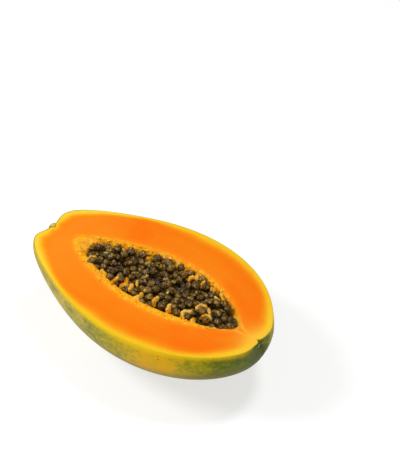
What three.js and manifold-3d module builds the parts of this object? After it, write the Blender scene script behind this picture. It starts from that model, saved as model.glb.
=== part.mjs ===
// Half of a ripe papaya. The whole fruit was cut lengthwise, a little above its core line, and this
// half lies on its rind with the cut face up and level.
//
// Units are millimetres. +X runs along the core line from the stem end to the blossom end, and +Z is
// up. The origin is the centre of the small flat spot of rind that the half rests on. Until the last
// lines the shapes are worked out about the core line, where z = 0 is the core line itself.
//
// Three separate pieces make it up:
//   fruit_half  rind and flesh, grown as one, with the seed hollow and the soft tufts on its wall
//   seed_mass   the seeds, which lie in the hollow and cling together in one lump
//   stem_stub   the dry end of the stalk, which sits in the dimple at the stem end
import * as THREE from 'three';
import { mergeVertices } from 'three/addons/utils/BufferGeometryUtils.js';
import Module from 'manifold-3d';

const wasm = await Module();
wasm.setup();

// ---- The fruit. `t` runs from 0 at the stem end to PI at the blossom end, and `turn` goes round the
// core line: 0 is +Y, and -PI / 2 is straight down.
const FRUIT_REACH = 107.5; // from the middle of the core line to either end, before the pear shape
const FRUIT_RADIUS = 59.8;
const PEAR = [1, 0.0795, -0.0195, 0.033, 0.027]; // how the outline swells along the core line, as waves
const STEM_DIMPLE = { depth: 0.141, spread: 0.216 };
const BLOSSOM_DIMPLE = { depth: 0.046, spread: 0.173 };
const CREASES = { stem: 0.024, blossom: 0.021, spread: 0.15 }; // between the ribs, fading below
const TIP_RISE = { stem: 2.1, blossom: 2.3, spread: 0.35 }; // both ends lie a little above the core line
const RIBS = { count: 5, rise: 0.008, crest: -0.4 };
const LEAN = { middle: 0.046, alongCore: -0.009 }; // the +Y side is a little fuller
const BELLY = [0.902, 0, 0.035, -0.018]; // the underside is flatter than the sides, as waves too
const STEM_TUCK = { share: 0.058, start: 0.12 }; // and is drawn in a little round the stem end
const CUT_HEIGHT = 6.4; // of the cut face above the core line
const REST_SLICE = 0.9; // height of rind that the flat resting spot takes off
const BLOSSOM_SCAR = { radius: 2.2, depth: 1.4 };
const FRUIT_FACES = { around: 44, along: 38 };

// ---- The seed hollow
const HOLLOW_MIDDLE = -6.8;
const HOLLOW_REACH = 84.2;
const HOLLOW_RADIUS = 29.4;
const HOLLOW = { taper: 1.83, pear: -0.16, leanMiddle: 0.093, leanAlongCore: -0.095 };
const HOLLOW_CORNERS = 0.05; // the hollow is a soft five-pointed star in section
const HOLLOW_FACES = { around: 28, along: 28 };

// ---- The soft tufts that stand on the hollow's wall, just under the cut face
const TUFTS = { count: 30, radius: 1.9, stretch: 1.5, sink: 0.4, below: 1.5, drop: 1.6 };
const TUFT_REACH = 0.93; // share of the hollow's length that has tufts
const TUFT_SPREAD = 0.6; // how far a tuft may stand from its even step, as a share of the step
const TUFT_SIZES = { least: 0.75, most: 1.15 };
const TUFT_LEAN = 0.35;

// ---- The seeds
const SEED_RADIUS = { least: 2.75, most: 3.4 };
const SEED_SQUASH = [1.1, 0.96, 0.9]; // length, breadth and thickness over the radius
const SEED_PITCH = 6.1;
const SEED_JITTER = 0.5; // of the pitch
const SEED_TUCK = 0.75; // share of a seed's radius that has to fit beside the wall at the start
const SEED_START = -68; // the last of the hollow at the stem end has no seeds
const SEED_CROWN = 1.4; // how far the middle of the seed bed lies below the cut face
const SEED_SCATTER = { start: 1.1, up: 1.1, down: 1.8 }; // from the bed, before and after settling
const BED_WAVES = { rise: 0.9, along: 0.11, across: 0.17, phase: 1.3 }; // the bed isn't quite level
const HOLES = [ // where seeds have dropped out of the bed: x, y, radius and depth
  { x: -35, y: -2, radius: 8, depth: 4.2 },
  { x: -23, y: 7, radius: 7, depth: 3.8 },
  { x: 18, y: 4, radius: 7, depth: 2.4 },
];
const SETTLE = { rounds: 30, closest: 1.03, share: 0.35 };
const CORE_UNDER_BED = 0.5;
const CORE_FACES = { around: 16, along: 20 };
const GAP = 0.4; // left between separate pieces

// ---- The stem stub, which the knife has gone through as well
const STUB = { radius: 4.2, neck: 3.6, buried: 3, standing: 3.5, sides: 16, aside: 0.9, height: 2.9 };
const STUB_SWELL = 0.45; // share of its standing length where it is as thick as its radius
const STUB_SHOULDER = { out: 0.94, along: 0.85 };
const STUB_BROKEN_FACE = { out: 0.72, middle: 0.86 }; // its edge, and its hollowed middle

// A repeatable stream of numbers from 0 to 1.
function numberStream(seed) {
  let state = seed;
  return () => {
    state = (state + 0x6d2b79f5) | 0;
    let mixed = Math.imul(state ^ (state >>> 15), 1 | state);
    mixed = (mixed + Math.imul(mixed ^ (mixed >>> 7), 61 | mixed)) ^ mixed;
    return ((mixed ^ (mixed >>> 14)) >>> 0) / 4294967296;
  };
}

// ---- The fruit's and the hollow's outlines
function waves(heights, t) {
  return heights.reduce((sum, height, i) => sum + height * Math.cos(i * t), 0);
}

// One at the middle of an end, and nothing far from it.
function nearEnd(away, spread) {
  return Math.exp(-((away / spread) ** 2));
}

// A crease starts at nothing in the middle of an end, is deepest a little way out, and fades again.
function creaseAt(away) {
  const share = away / CREASES.spread;
  return share * Math.exp(1 - share);
}

function fruitSwell(t, turn) {
  const dimples = STEM_DIMPLE.depth * nearEnd(t, STEM_DIMPLE.spread)
    + BLOSSOM_DIMPLE.depth * nearEnd(Math.PI - t, BLOSSOM_DIMPLE.spread);
  const valley = (0.5 - 0.5 * Math.cos(RIBS.count * (turn - RIBS.crest))) ** 2;
  const above = (0.5 + 0.5 * Math.sin(turn)) ** 2;
  const creases = CREASES.stem * creaseAt(t) + CREASES.blossom * creaseAt(Math.PI - t);
  return waves(PEAR, t) - dimples - creases * valley * above;
}

function fruitPoint(t, turn) {
  const swell = fruitSwell(t, turn);
  const ribs = 1 + RIBS.rise * Math.cos(RIBS.count * (turn - RIBS.crest));
  const lean = 1 + (LEAN.middle + LEAN.alongCore * Math.cos(t)) * Math.cos(turn);
  const radius = FRUIT_RADIUS * Math.sin(t) * swell * ribs * lean;
  const height = radius * Math.sin(turn);
  const below = Math.max(0, -Math.sin(turn)) * (1 - nearEnd(t, STEM_TUCK.start));
  const tuck = 1 - STEM_TUCK.share * below * Math.max(0, Math.cos(t)) ** 2;
  const rise = TIP_RISE.stem * nearEnd(t, TIP_RISE.spread)
    + TIP_RISE.blossom * nearEnd(Math.PI - t, TIP_RISE.spread);
  return new THREE.Vector3(
    -FRUIT_REACH * Math.cos(t) * swell * tuck,
    radius * Math.cos(turn),
    (height < 0 ? height * waves(BELLY, t) : height) + rise,
  );
}

// The hollow's wall stands this far from the core line.
function hollowRadius(t, turn) {
  const lean = 1 + (HOLLOW.leanMiddle + HOLLOW.leanAlongCore * Math.cos(t)) * Math.cos(turn);
  const corners = 1 + HOLLOW_CORNERS * Math.cos(RIBS.count * (turn - RIBS.crest));
  const taper = Math.sin(t) ** HOLLOW.taper * (1 + HOLLOW.pear * Math.cos(t));
  return HOLLOW_RADIUS * taper * lean * corners;
}

function hollowPoint(t, turn, inset = 0) {
  const radius = Math.max(hollowRadius(t, turn) - inset, 0);
  return new THREE.Vector3(
    HOLLOW_MIDDLE - (HOLLOW_REACH - inset) * Math.cos(t),
    radius * Math.cos(turn),
    radius * Math.sin(turn),
  );
}

// The farthest from the core line that something at x may stand and still be `clear` of the wall.
function roomAt(x, turn, clear) {
  const radiusAt = (place) => {
    const share = THREE.MathUtils.clamp((HOLLOW_MIDDLE - place) / HOLLOW_REACH, -1, 1);
    return hollowRadius(Math.acos(share), turn);
  };
  const slope = (radiusAt(x + 1) - radiusAt(x - 1)) / 2;
  return radiusAt(x) - clear * Math.hypot(1, slope);
}

// ---- Solids
// A sphere whose points are moved to shape(t, turn), so that it closes at both ends of the core line.
function closedShape({ around, along }, shape) {
  const geometry = new THREE.SphereGeometry(1, around, along);
  const place = geometry.getAttribute('position');
  const point = new THREE.Vector3();
  for (let i = 0; i < place.count; i++) {
    point.fromBufferAttribute(place, i);
    const t = Math.acos(THREE.MathUtils.clamp(point.y, -1, 1));
    point.copy(shape(t, Math.atan2(point.z, point.x)));
    place.setXYZ(i, point.x, point.y, point.z);
  }
  return geometry;
}

function solidOf(geometry) {
  const bare = new THREE.BufferGeometry();
  bare.setAttribute('position', geometry.getAttribute('position'));
  if (geometry.index) bare.setIndex(geometry.index);
  const merged = mergeVertices(bare, 1e-4);
  return new wasm.Manifold(new wasm.Mesh({
    numProp: 3,
    vertProperties: merged.getAttribute('position').array,
    triVerts: new Uint32Array(merged.index.array),
  }));
}

function boxSolid(low, high) {
  const size = new THREE.Vector3().subVectors(high, low);
  const middle = new THREE.Vector3().addVectors(low, high).multiplyScalar(0.5);
  return solidOf(new THREE.BoxGeometry(size.x, size.y, size.z).translate(...middle));
}

function meshOf(solid, name, material) {
  const { numProp, vertProperties, triVerts } = solid.getMesh();
  const place = new Float32Array((vertProperties.length / numProp) * 3);
  for (let i = 0; i < place.length / 3; i++) {
    place.set(vertProperties.subarray(i * numProp, i * numProp + 3), i * 3);
  }
  const geometry = new THREE.BufferGeometry();
  geometry.setAttribute('position', new THREE.BufferAttribute(place, 3));
  geometry.setIndex(new THREE.BufferAttribute(new Uint32Array(triVerts), 1));
  geometry.computeVertexNormals();
  const mesh = new THREE.Mesh(geometry, material);
  mesh.name = name;
  return mesh;
}

// ---- Tufts: one near each even step round the rim of the hollow.
function placeTufts() {
  const chance = numberStream(11);
  const tufts = [];
  for (let i = 0; i < TUFTS.count; i++) {
    const round = ((i + TUFT_SPREAD * chance()) / TUFTS.count) * 2 * Math.PI;
    const t = Math.acos(Math.cos(round) * TUFT_REACH);
    const side = Math.sin(round) >= 0 ? 0 : Math.PI;
    const height = CUT_HEIGHT - TUFTS.below - TUFTS.drop * chance();
    const radius = TUFTS.radius * THREE.MathUtils.lerp(TUFT_SIZES.least, TUFT_SIZES.most, chance());
    const lean = TUFT_LEAN * Math.cos(chance() * Math.PI);
    const wall = hollowRadius(t, side);
    if (wall < CUT_HEIGHT + TUFTS.radius) continue;
    const lift = Math.asin(height / wall);
    const turn = side === 0 ? lift : Math.PI - lift;
    tufts.push({ middle: hollowPoint(t, turn, TUFTS.sink), radius, turn, lean });
  }
  return tufts;
}

function tuftSolid({ middle, radius, turn, lean }, grown = 0) {
  const shape = new THREE.IcosahedronGeometry(radius + grown);
  shape.scale(1, TUFTS.stretch, 1);
  shape.rotateX(turn + Math.PI / 2 + lean);
  shape.translate(middle.x, middle.y, middle.z);
  return solidOf(shape);
}

// ---- Seeds
function bedHeight(x, y) {
  const { rise, along, across, phase } = BED_WAVES;
  const wave = rise * Math.sin(x * along + phase) * Math.cos(y * across);
  const holes = HOLES.reduce((sum, hole) => {
    const away = ((x - hole.x) ** 2 + (y - hole.y) ** 2) / hole.radius ** 2;
    return sum + hole.depth * Math.exp(-away);
  }, 0);
  return CUT_HEIGHT - SEED_CROWN + wave - holes;
}

// Seeds start on a loose honeycomb over the bed and push each other apart until they lie side by side.
function placeSeeds(tufts) {
  const chance = numberStream(2024);
  const seeds = [];
  const rowStep = SEED_PITCH * Math.sqrt(0.75);
  const rows = Math.ceil(HOLLOW_RADIUS / rowStep) + 1;
  const columns = Math.ceil((2 * HOLLOW_REACH) / SEED_PITCH);
  for (let row = -rows; row <= rows; row++) {
    for (let column = 0; column < columns; column++) {
      const jitter = () => (chance() - 0.5) * SEED_PITCH * SEED_JITTER;
      const x = SEED_START + (column + (row & 1) * 0.5) * SEED_PITCH + jitter();
      const y = row * rowStep + jitter();
      const radius = THREE.MathUtils.lerp(SEED_RADIUS.least, SEED_RADIUS.most, chance());
      const z = bedHeight(x, y) + (chance() * 2 - 1) * SEED_SCATTER.start;
      const facing = [chance(), chance(), chance()].map((share) => share * 2 * Math.PI);
      if (x < SEED_START || x > HOLLOW_MIDDLE + HOLLOW_REACH) continue;
      const room = roomAt(x, Math.atan2(z, y), radius * SEED_TUCK + GAP);
      if (room > 0 && Math.hypot(y, z) < room) {
        seeds.push({ middle: new THREE.Vector3(x, y, z), radius, facing });
      }
    }
  }
  for (let round = 0; round < SETTLE.rounds; round++) settle(seeds, tufts);
  return seeds;
}

function settle(seeds, tufts) {
  const between = new THREE.Vector3();
  seeds.forEach((seed, i) => {
    seeds.slice(i + 1).forEach((other) => {
      between.subVectors(seed.middle, other.middle);
      const short = (seed.radius + other.radius) * SETTLE.closest - between.length();
      if (short <= 0) return;
      between.setLength(short * SETTLE.share);
      seed.middle.add(between);
      other.middle.sub(between);
    });
    tufts.forEach((tuft) => {
      between.subVectors(seed.middle, tuft.middle);
      const short = seed.radius + tuft.radius * TUFTS.stretch + GAP - between.length();
      if (short > 0) seed.middle.add(between.setLength(short));
    });
    keepInHollow(seed);
  });
}

function keepInHollow({ middle, radius }) {
  const bed = bedHeight(middle.x, middle.y);
  middle.z = THREE.MathUtils.clamp(middle.z, bed - SEED_SCATTER.down, bed + SEED_SCATTER.up);
  middle.x = Math.max(middle.x, SEED_START);
  const room = roomAt(middle.x, Math.atan2(middle.z, middle.y), radius * SEED_SQUASH[0] + GAP);
  const out = Math.hypot(middle.y, middle.z);
  if (out > room) {
    const pull = Math.max(room, 0) / out;
    middle.y *= pull;
    middle.z *= pull;
  }
}

function seedSolid({ middle, radius, facing }) {
  const shape = new THREE.IcosahedronGeometry(radius);
  shape.scale(...SEED_SQUASH);
  shape.rotateX(facing[0]).rotateY(facing[1]).rotateZ(facing[2]);
  shape.translate(middle.x, middle.y, middle.z);
  return solidOf(shape);
}

// The lump of hidden seeds and jelly below the top layer: the hollow's own shape, cut off at the bed.
function seedCore(tufts) {
  const start = SEED_START - SEED_RADIUS.most;
  let core = solidOf(closedShape(CORE_FACES, (t, turn) => {
    const point = hollowPoint(t, turn, 2 * GAP);
    point.z = Math.min(point.z, bedHeight(point.x, point.y) - CORE_UNDER_BED);
    return point;
  })).subtract(boxSolid(
    new THREE.Vector3(-2 * FRUIT_REACH, -FRUIT_RADIUS, -FRUIT_RADIUS),
    new THREE.Vector3(start, FRUIT_RADIUS, FRUIT_RADIUS),
  ));
  for (const tuft of tufts) core = core.subtract(tuftSolid(tuft, GAP));
  return core;
}

// ---- The pieces
function aboveCut() {
  const wide = 2 * FRUIT_REACH;
  return boxSolid(
    new THREE.Vector3(-wide, -wide, CUT_HEIGHT),
    new THREE.Vector3(wide, wide, wide),
  );
}

function fruitSolid(tufts, restHeight) {
  const wide = 2 * FRUIT_REACH;
  const below = boxSolid(
    new THREE.Vector3(-wide, -wide, -wide),
    new THREE.Vector3(wide, wide, restHeight),
  );
  const whole = solidOf(closedShape(FRUIT_FACES, fruitPoint));
  let fruit = whole.subtract(solidOf(closedShape(HOLLOW_FACES, (t, turn) => hollowPoint(t, turn))));
  for (const tuft of tufts) fruit = fruit.add(tuftSolid(tuft));
  return fruit.subtract(aboveCut()).subtract(below).subtract(stubShape(GAP)).subtract(scarSolid());
}

function scarSolid() {
  const tip = fruitPoint(Math.PI, 0);
  const shape = new THREE.SphereGeometry(BLOSSOM_SCAR.radius, 10, 6);
  shape.translate(tip.x + BLOSSOM_SCAR.radius - BLOSSOM_SCAR.depth, tip.y, tip.z);
  return solidOf(shape);
}

// A lathe profile round the stub's own axis, from its buried end to its broken face.
function stubShape(grown) {
  const { radius, neck, buried, standing, sides, aside, height } = STUB;
  const profile = [
    [0, -buried - grown],
    [neck + grown, -buried - grown],
    [neck + grown, 0],
    [radius + grown, standing * STUB_SWELL],
    [radius * STUB_SHOULDER.out + grown, standing * STUB_SHOULDER.along],
    [radius * STUB_BROKEN_FACE.out + grown, standing + grown],
    [0, standing * STUB_BROKEN_FACE.middle + grown],
  ].map(([out, along]) => new THREE.Vector2(out, along));
  const shape = new THREE.LatheGeometry(profile, sides);
  shape.rotateZ(Math.PI / 2);
  shape.translate(fruitPoint(0, 0).x, aside, height);
  return solidOf(shape);
}

function stubSolid() {
  return stubShape(0).subtract(aboveCut());
}

function lowestPoint() {
  let lowest = new THREE.Vector3();
  for (let t = 0; t <= Math.PI; t += 0.005) {
    for (let turn = -Math.PI; turn <= 0; turn += 0.02) {
      const point = fruitPoint(t, turn);
      if (point.z < lowest.z) lowest = point;
    }
  }
  return lowest;
}

const flesh = new THREE.MeshStandardMaterial({ color: 0xf98a22, roughness: 0.42, metalness: 0 });
const seedCoat = new THREE.MeshStandardMaterial({ color: 0x2a2117, roughness: 0.28, metalness: 0 });
const dryStem = new THREE.MeshStandardMaterial({ color: 0xa88a5c, roughness: 0.8, metalness: 0 });

const low = lowestPoint();
const tufts = placeTufts();
const seeds = placeSeeds(tufts);
const seedMass = wasm.Manifold.union([seedCore(tufts), ...seeds.map(seedSolid)]);

const papaya = new THREE.Group();
papaya.add(meshOf(fruitSolid(tufts, low.z + REST_SLICE), 'fruit_half', flesh));
papaya.add(meshOf(seedMass, 'seed_mass', seedCoat));
papaya.add(meshOf(stubSolid(), 'stem_stub', dryStem));
papaya.position.set(-low.x, -low.y, -(low.z + REST_SLICE));

export default papaya;
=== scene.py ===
# %% [markdown]
# # Half a ripe papaya
#
# A papaya is one big berry: a thin waxy rind, a thick wall of orange flesh and, down the middle, a
# hollow packed with wet black seeds. This one was cut lengthwise and lies on its back, cut face up.
#
# The construction model already has its sizes and its three solids. It could be dressed with
# materials alone, but its solids are coarse. So this script lays finer pieces over them, worked out
# from the same driving sizes, and leaves the solids themselves where they are.

# %% Load the fixed frame
import math

import bmesh
import bpy
import numpy as np
from mathutils import Euler, Matrix, Vector, noise


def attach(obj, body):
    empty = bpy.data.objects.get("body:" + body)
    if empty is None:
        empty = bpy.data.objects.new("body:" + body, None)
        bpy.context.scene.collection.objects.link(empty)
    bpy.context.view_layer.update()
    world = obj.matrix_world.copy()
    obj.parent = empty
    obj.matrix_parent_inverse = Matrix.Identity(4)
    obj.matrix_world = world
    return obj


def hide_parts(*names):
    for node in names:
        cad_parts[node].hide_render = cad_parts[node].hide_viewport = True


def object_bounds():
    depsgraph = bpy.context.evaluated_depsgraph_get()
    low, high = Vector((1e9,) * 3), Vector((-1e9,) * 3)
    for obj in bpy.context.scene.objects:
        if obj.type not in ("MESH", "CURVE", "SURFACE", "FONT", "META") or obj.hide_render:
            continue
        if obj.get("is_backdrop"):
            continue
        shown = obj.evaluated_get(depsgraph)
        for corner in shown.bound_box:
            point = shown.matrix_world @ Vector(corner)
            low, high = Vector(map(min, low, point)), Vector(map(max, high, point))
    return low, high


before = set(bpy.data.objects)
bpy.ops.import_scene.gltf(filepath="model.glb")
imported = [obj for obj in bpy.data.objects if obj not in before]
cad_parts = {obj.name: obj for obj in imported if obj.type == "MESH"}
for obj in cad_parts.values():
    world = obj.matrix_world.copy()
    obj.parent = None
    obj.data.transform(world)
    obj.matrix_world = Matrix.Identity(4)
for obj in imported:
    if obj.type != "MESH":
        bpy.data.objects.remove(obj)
CAD_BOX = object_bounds()
print("construction model, in metres:", [tuple(round(n, 4) for n in corner) for corner in CAD_BOX])

# %% [markdown]
# ## Where the numbers live
#
# Every size below is in millimetres and is measured from the core line, the line from the stalk to
# the blossom end: +X towards the blossom end, +Z up. Blender works in metres and the frame has its
# origin where the rind touches the table, so one helper does both changes. Keeping that in one
# place means that the sizes can be read as real sizes everywhere else.

# %% Driving sizes of the fruit
MM = 0.001
FRUIT_REACH = 107.5  # from the middle of the core line to either end, before the pear shape
FRUIT_RADIUS = 59.8
PEAR = [1, 0.0795, -0.0195, 0.033, 0.027]  # how the outline swells along the core line, as waves
STEM_DIMPLE = (0.141, 0.216)  # depth, as a share of the fruit, and spread
BLOSSOM_DIMPLE = (0.046, 0.173)
STEM_CREASES = 0.024
BLOSSOM_CREASES = 0.021
CREASE_SPREAD = 0.15
STEM_RISE = 2.1
BLOSSOM_RISE = 2.3
RISE_SPREAD = 0.35
RIBS = 5
RIB_RISE = 0.008
RIB_CREST = -0.4
LEAN = (0.046, -0.009)  # at the middle, and its change towards the stalk
BELLY = [0.902, 0, 0.035, -0.018]  # the underside is flatter than the sides, as waves too
STEM_TUCK = (0.058, 0.12)  # share, and how far from the stalk it starts
CUT_HEIGHT = 6.4  # of the cut face above the core line
REST_SLICE = 0.9  # height of rind that the flat resting spot takes off
print(f"before the rules below: {2 * FRUIT_REACH} mm long, {2 * FRUIT_RADIUS} mm thick, {RIBS} ribs")

# %% [markdown]
# ## The shape of a papaya
#
# The fruit is a ball that a few smooth rules stretch and dent: a pear-shaped outline, a dimple and
# a few shallow creases at each end, five soft ribs and a flattened belly. It could be sculpted by
# hand, but rules keep the fine surface exactly on the coarse one. `t` runs from 0 at the stalk to
# pi at the blossom end, and `turn` goes round the core line from +Y, with straight down at -pi/2.

# %% The outline as rules
SEARCH_STEPS = (0.005, 0.02)  # along and round, for finding the lowest point


def waves(heights, t):
    """A sum of cosines: the first is level, and each next one has half a wave more."""
    return sum(height * np.cos(i * t) for i, height in enumerate(heights))


def near_end(away, spread):
    """1 at an end of the fruit, and fading to 0 away from it."""
    return np.exp(-((away / spread) ** 2))


def crease_at(away):
    """How deep the creases are: nothing at the end itself, and deepest a short way from it."""
    share = away / CREASE_SPREAD
    return share * np.exp(1 - share)


def fruit_point(t, turn):
    """A point of the fruit's outside, in millimetres from the core line."""
    to_crest = RIBS * (turn - RIB_CREST)
    valley = (0.5 - 0.5 * np.cos(to_crest)) ** 2
    above = (0.5 + 0.5 * np.sin(turn)) ** 2
    creases = STEM_CREASES * crease_at(t) + BLOSSOM_CREASES * crease_at(np.pi - t)
    dimples = STEM_DIMPLE[0] * near_end(t, STEM_DIMPLE[1])
    dimples = dimples + BLOSSOM_DIMPLE[0] * near_end(np.pi - t, BLOSSOM_DIMPLE[1])
    swell = waves(PEAR, t) - dimples - creases * valley * above
    lean = 1 + (LEAN[0] + LEAN[1] * np.cos(t)) * np.cos(turn)
    radius = FRUIT_RADIUS * np.sin(t) * swell * (1 + RIB_RISE * np.cos(to_crest)) * lean
    height = radius * np.sin(turn)
    height = np.where(height < 0, height * waves(BELLY, t), height)
    below = np.maximum(0, -np.sin(turn)) * (1 - near_end(t, STEM_TUCK[1]))
    tuck = 1 - STEM_TUCK[0] * below * np.maximum(0, np.cos(t)) ** 2
    rise = STEM_RISE * near_end(t, RISE_SPREAD) + BLOSSOM_RISE * near_end(np.pi - t, RISE_SPREAD)
    x = -FRUIT_REACH * np.cos(t) * swell * tuck
    return np.stack(np.broadcast_arrays(x, radius * np.cos(turn), height + rise), axis=-1)


def find_lowest():
    """The lowest point of the fruit, which is straight above the frame's origin."""
    t, turn = np.meshgrid(np.arange(0, np.pi, SEARCH_STEPS[0]), np.arange(-np.pi, 0, SEARCH_STEPS[1]))
    points = fruit_point(t, turn).reshape(-1, 3)
    return points[points[:, 2].argmin()]


LOWEST = find_lowest()
REST_HEIGHT = LOWEST[2] + REST_SLICE
ORIGIN = np.array([LOWEST[0], LOWEST[1], REST_HEIGHT])


def in_frame(points):
    """Millimetres from the core line, as metres in the frame."""
    return (np.asarray(points) - ORIGIN) * MM


print("core line above the table, mm:", round(-REST_HEIGHT, 2))

# %% [markdown]
# ## The camera
#
# The view looks down on the half as over a table, from its near side and a little from the blossom
# end. A helper could aim the camera at the object, but then any change to the fruit would move the
# view. So its place, its turn and its lens are set as numbers. A long lens from far away keeps the
# nearer end of the fruit from looking too big.

# %% Camera
CAMERA_TURN = math.radians(38.32)
CAMERA_TILT = math.radians(41.37)  # how far it looks down
LENS = 100
SENSOR_WIDTH = 36
CAMERA_PLACE = Vector((445.60, -512.23, 709.54)) * MM


def make_camera():
    camera = bpy.data.objects.new("camera", bpy.data.cameras.new("camera"))
    camera.data.lens = LENS
    camera.data.sensor_width = SENSOR_WIDTH
    camera.location = CAMERA_PLACE
    camera.rotation_euler = Euler((math.pi / 2 - CAMERA_TILT, 0, CAMERA_TURN))
    bpy.context.scene.collection.objects.link(camera)
    bpy.context.scene.camera = camera
    print("camera at", tuple(round(n, 3) for n in camera.location))


make_camera()

# %% [markdown]
# ## Rings and rims
#
# Rind and flesh both start as a ball with its poles on the core line. Each ring of the ball becomes
# one slice of the fruit, and each column one line along it. Cutting a finished fruit open with a
# knife tool would leave ragged triangles at the cut. Here the rings and the ends of their columns
# are placed exactly where the skin passes through the cut face, so the rim is a clean row of
# points. Those places have no formula, so each is found by halving a stretch again and again.

# %% Rings and rims
CAP_RINGS = 7  # rings of the end caps, which lie wholly below the cut face
RING_CROWDING = 0.11  # how much closer together the rings lie near the ends
NUDGE = 1e-4  # of t and turn, for measuring how the skin slopes
HALVINGS = 36
END_SEARCH = 0.5  # from the ends, where the cut face surely has begun
RIM_SEARCH = 0.3  # beyond level, where a ring surely is below the cut face


def skin_point(t, turn, depth):
    """A point `depth` below the outside of the rind."""
    t, turn = np.broadcast_arrays(t, turn)
    inner = np.clip(t, 10 * NUDGE, np.pi - 10 * NUDGE)
    along = fruit_point(inner + NUDGE, turn) - fruit_point(inner - NUDGE, turn)
    around = fruit_point(inner, turn + NUDGE) - fruit_point(inner, turn - NUDGE)
    facing = np.cross(around, along)
    facing /= np.linalg.norm(facing, axis=-1, keepdims=True)
    return fruit_point(t, turn) - depth * facing


def halve(below, low, high):
    """Where `below` stops being true between low and high, found by halving."""
    for _ in range(HALVINGS):
        middle = (low + high) / 2
        under = below(middle)
        low = np.where(under, middle, low)
        high = np.where(under, high, middle)
    return (low + high) / 2


def cut_ends(depth):
    """The two places along the fruit where the cut face begins and ends."""
    def under_cut(t):
        return skin_point(t, np.pi / 2, depth)[..., 2] < CUT_HEIGHT

    first = halve(under_cut, np.array(0.0), np.array(END_SEARCH))
    return first, halve(under_cut, np.array(np.pi), np.array(np.pi - END_SEARCH))


def ring_places(rings, depth):
    """Where the rings go: one exactly at each end of the cut face, and more near the ends."""
    first, last = cut_ends(depth)
    share = np.linspace(0, 1, rings - 2 * CAP_RINGS + 1)
    open_rings = first + (last - first) * (share - RING_CROWDING * np.sin(2 * np.pi * share))
    cap = np.linspace(0, 1, CAP_RINGS, endpoint=False)
    return np.concatenate([first * cap, open_rings, np.pi - (np.pi - last) * cap[::-1]])


def rim_turns(t, depth):
    """The turns at which ring t meets the cut face, on the +Y side and on the -Y side."""
    def under_cut(turn):
        return skin_point(t, turn, depth)[..., 2] < CUT_HEIGHT

    top = np.full_like(t, np.pi / 2)
    right = halve(under_cut, np.full_like(t, -RIM_SEARCH), top)
    return right, halve(under_cut, np.full_like(t, np.pi + RIM_SEARCH), top)


ends = [float(skin_point(t, np.pi / 2, 0)[0]) for t in cut_ends(0)]
print(f"the cut face goes from x = {ends[0]:.1f} to {ends[1]:.1f} mm")

# %% [markdown]
# ## A ball pulled into shape
#
# These helpers turn a grid of places into a finished object. A mesh could be written down point by
# point and face by face, but Blender's own ball already has the right faces, and its points only
# have to be moved. Each point also keeps its distances as named numbers, its marks, which the
# materials read later. An object with its mesh ready is given its material and its body in the
# frame in one place, where the solids it stands for are hidden, so that no piece goes without.

# %% Ball and piece helpers
SAME_PLACE = 1e-7  # metres: points closer than this are one point
CREASE_ANGLE = math.radians(50)  # steeper edges than this stay sharp


def shaped_ball(name, points, marks):
    """A ball whose points are moved to points[ring, column], with a float attribute for each mark."""
    rings, columns = points.shape[0] - 1, points.shape[1]
    places = in_frame(points)
    bm = bmesh.new()
    lying = Matrix.Rotation(-math.pi / 2, 4, "Y")
    bmesh.ops.create_uvsphere(bm, u_segments=columns, v_segments=rings, radius=1, matrix=lying)
    layers = {mark: bm.verts.layers.float.new(mark) for mark in marks}
    for vert in bm.verts:
        ring = round(math.acos(max(-1, min(1, -vert.co.x))) / math.pi * rings)
        column = round(math.atan2(vert.co.z, vert.co.y) / (2 * math.pi) * columns) % columns
        vert.co = places[ring, column]
        for mark, layer in layers.items():
            vert[layer] = marks[mark][ring, column]
    bmesh.ops.remove_doubles(bm, verts=bm.verts, dist=SAME_PLACE)
    bmesh.ops.dissolve_degenerate(bm, edges=bm.edges, dist=SAME_PLACE)
    drop_folded_walls(bm)
    return piece_from(bm, name)


def drop_folded_walls(bm):
    """Deletes the faces left inside the ends, where two walls have folded onto each other."""
    found = {}
    for face in bm.faces:
        found.setdefault(frozenset(face.verts), []).append(face)
    doubled = [face for faces in found.values() if len(faces) > 1 for face in faces]
    bmesh.ops.delete(bm, geom=doubled, context="FACES")
    inner = [face for face in bm.faces if sum(len(edge.link_faces) > 2 for edge in face.edges) > 1]
    bmesh.ops.delete(bm, geom=inner, context="FACES")


def piece_from(bm, name, sharp=CREASE_ANGLE):
    """A smooth-shaded object at the origin, with edges left sharp where faces meet steeply."""
    if bm.calc_volume(signed=True) < 0:
        bmesh.ops.reverse_faces(bm, faces=bm.faces)
    mesh = bpy.data.meshes.new(name)
    bm.to_mesh(mesh)
    volume = bm.calc_volume() / (10 * MM) ** 3
    loose = sum(not edge.is_manifold for edge in bm.edges)
    bm.free()
    mesh.shade_smooth()
    mesh.set_sharp_from_angle(angle=sharp)
    piece = bpy.data.objects.new(name, mesh)
    bpy.context.scene.collection.objects.link(piece)
    print(f"{name}: {len(mesh.polygons)} faces, {volume:.1f} cm3, {loose} open edges")
    return piece


def finish_piece(piece, material, slot, *nodes):
    """Gives a piece its material and root body, hides the solids it stands for, and prints its slot."""
    piece.data.materials.clear()
    piece.data.materials.append(material)
    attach(piece, "root")
    if nodes:
        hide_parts(*nodes)
    print(f"{piece.name}: {material.name} in the slot {slot}")


print("helpers ready, with edges sharp from", round(math.degrees(CREASE_ANGLE)), "degrees")

# %% [markdown]
# ## The surface of the skin
#
# The belly is pressed flat where the half rests, and the blossom end keeps the small round scar
# where the flower dropped off. Both could be carved afterwards. It is simpler to work them into the
# rows of points from the start, because rind and flesh then get the same dents.

# %% Rows of skin
SCAR_PLACE = (1.2, -0.4)  # y and z of its middle
SCAR_RADIUS = 2.6
SCAR_DEPTH = 1.2


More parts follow.
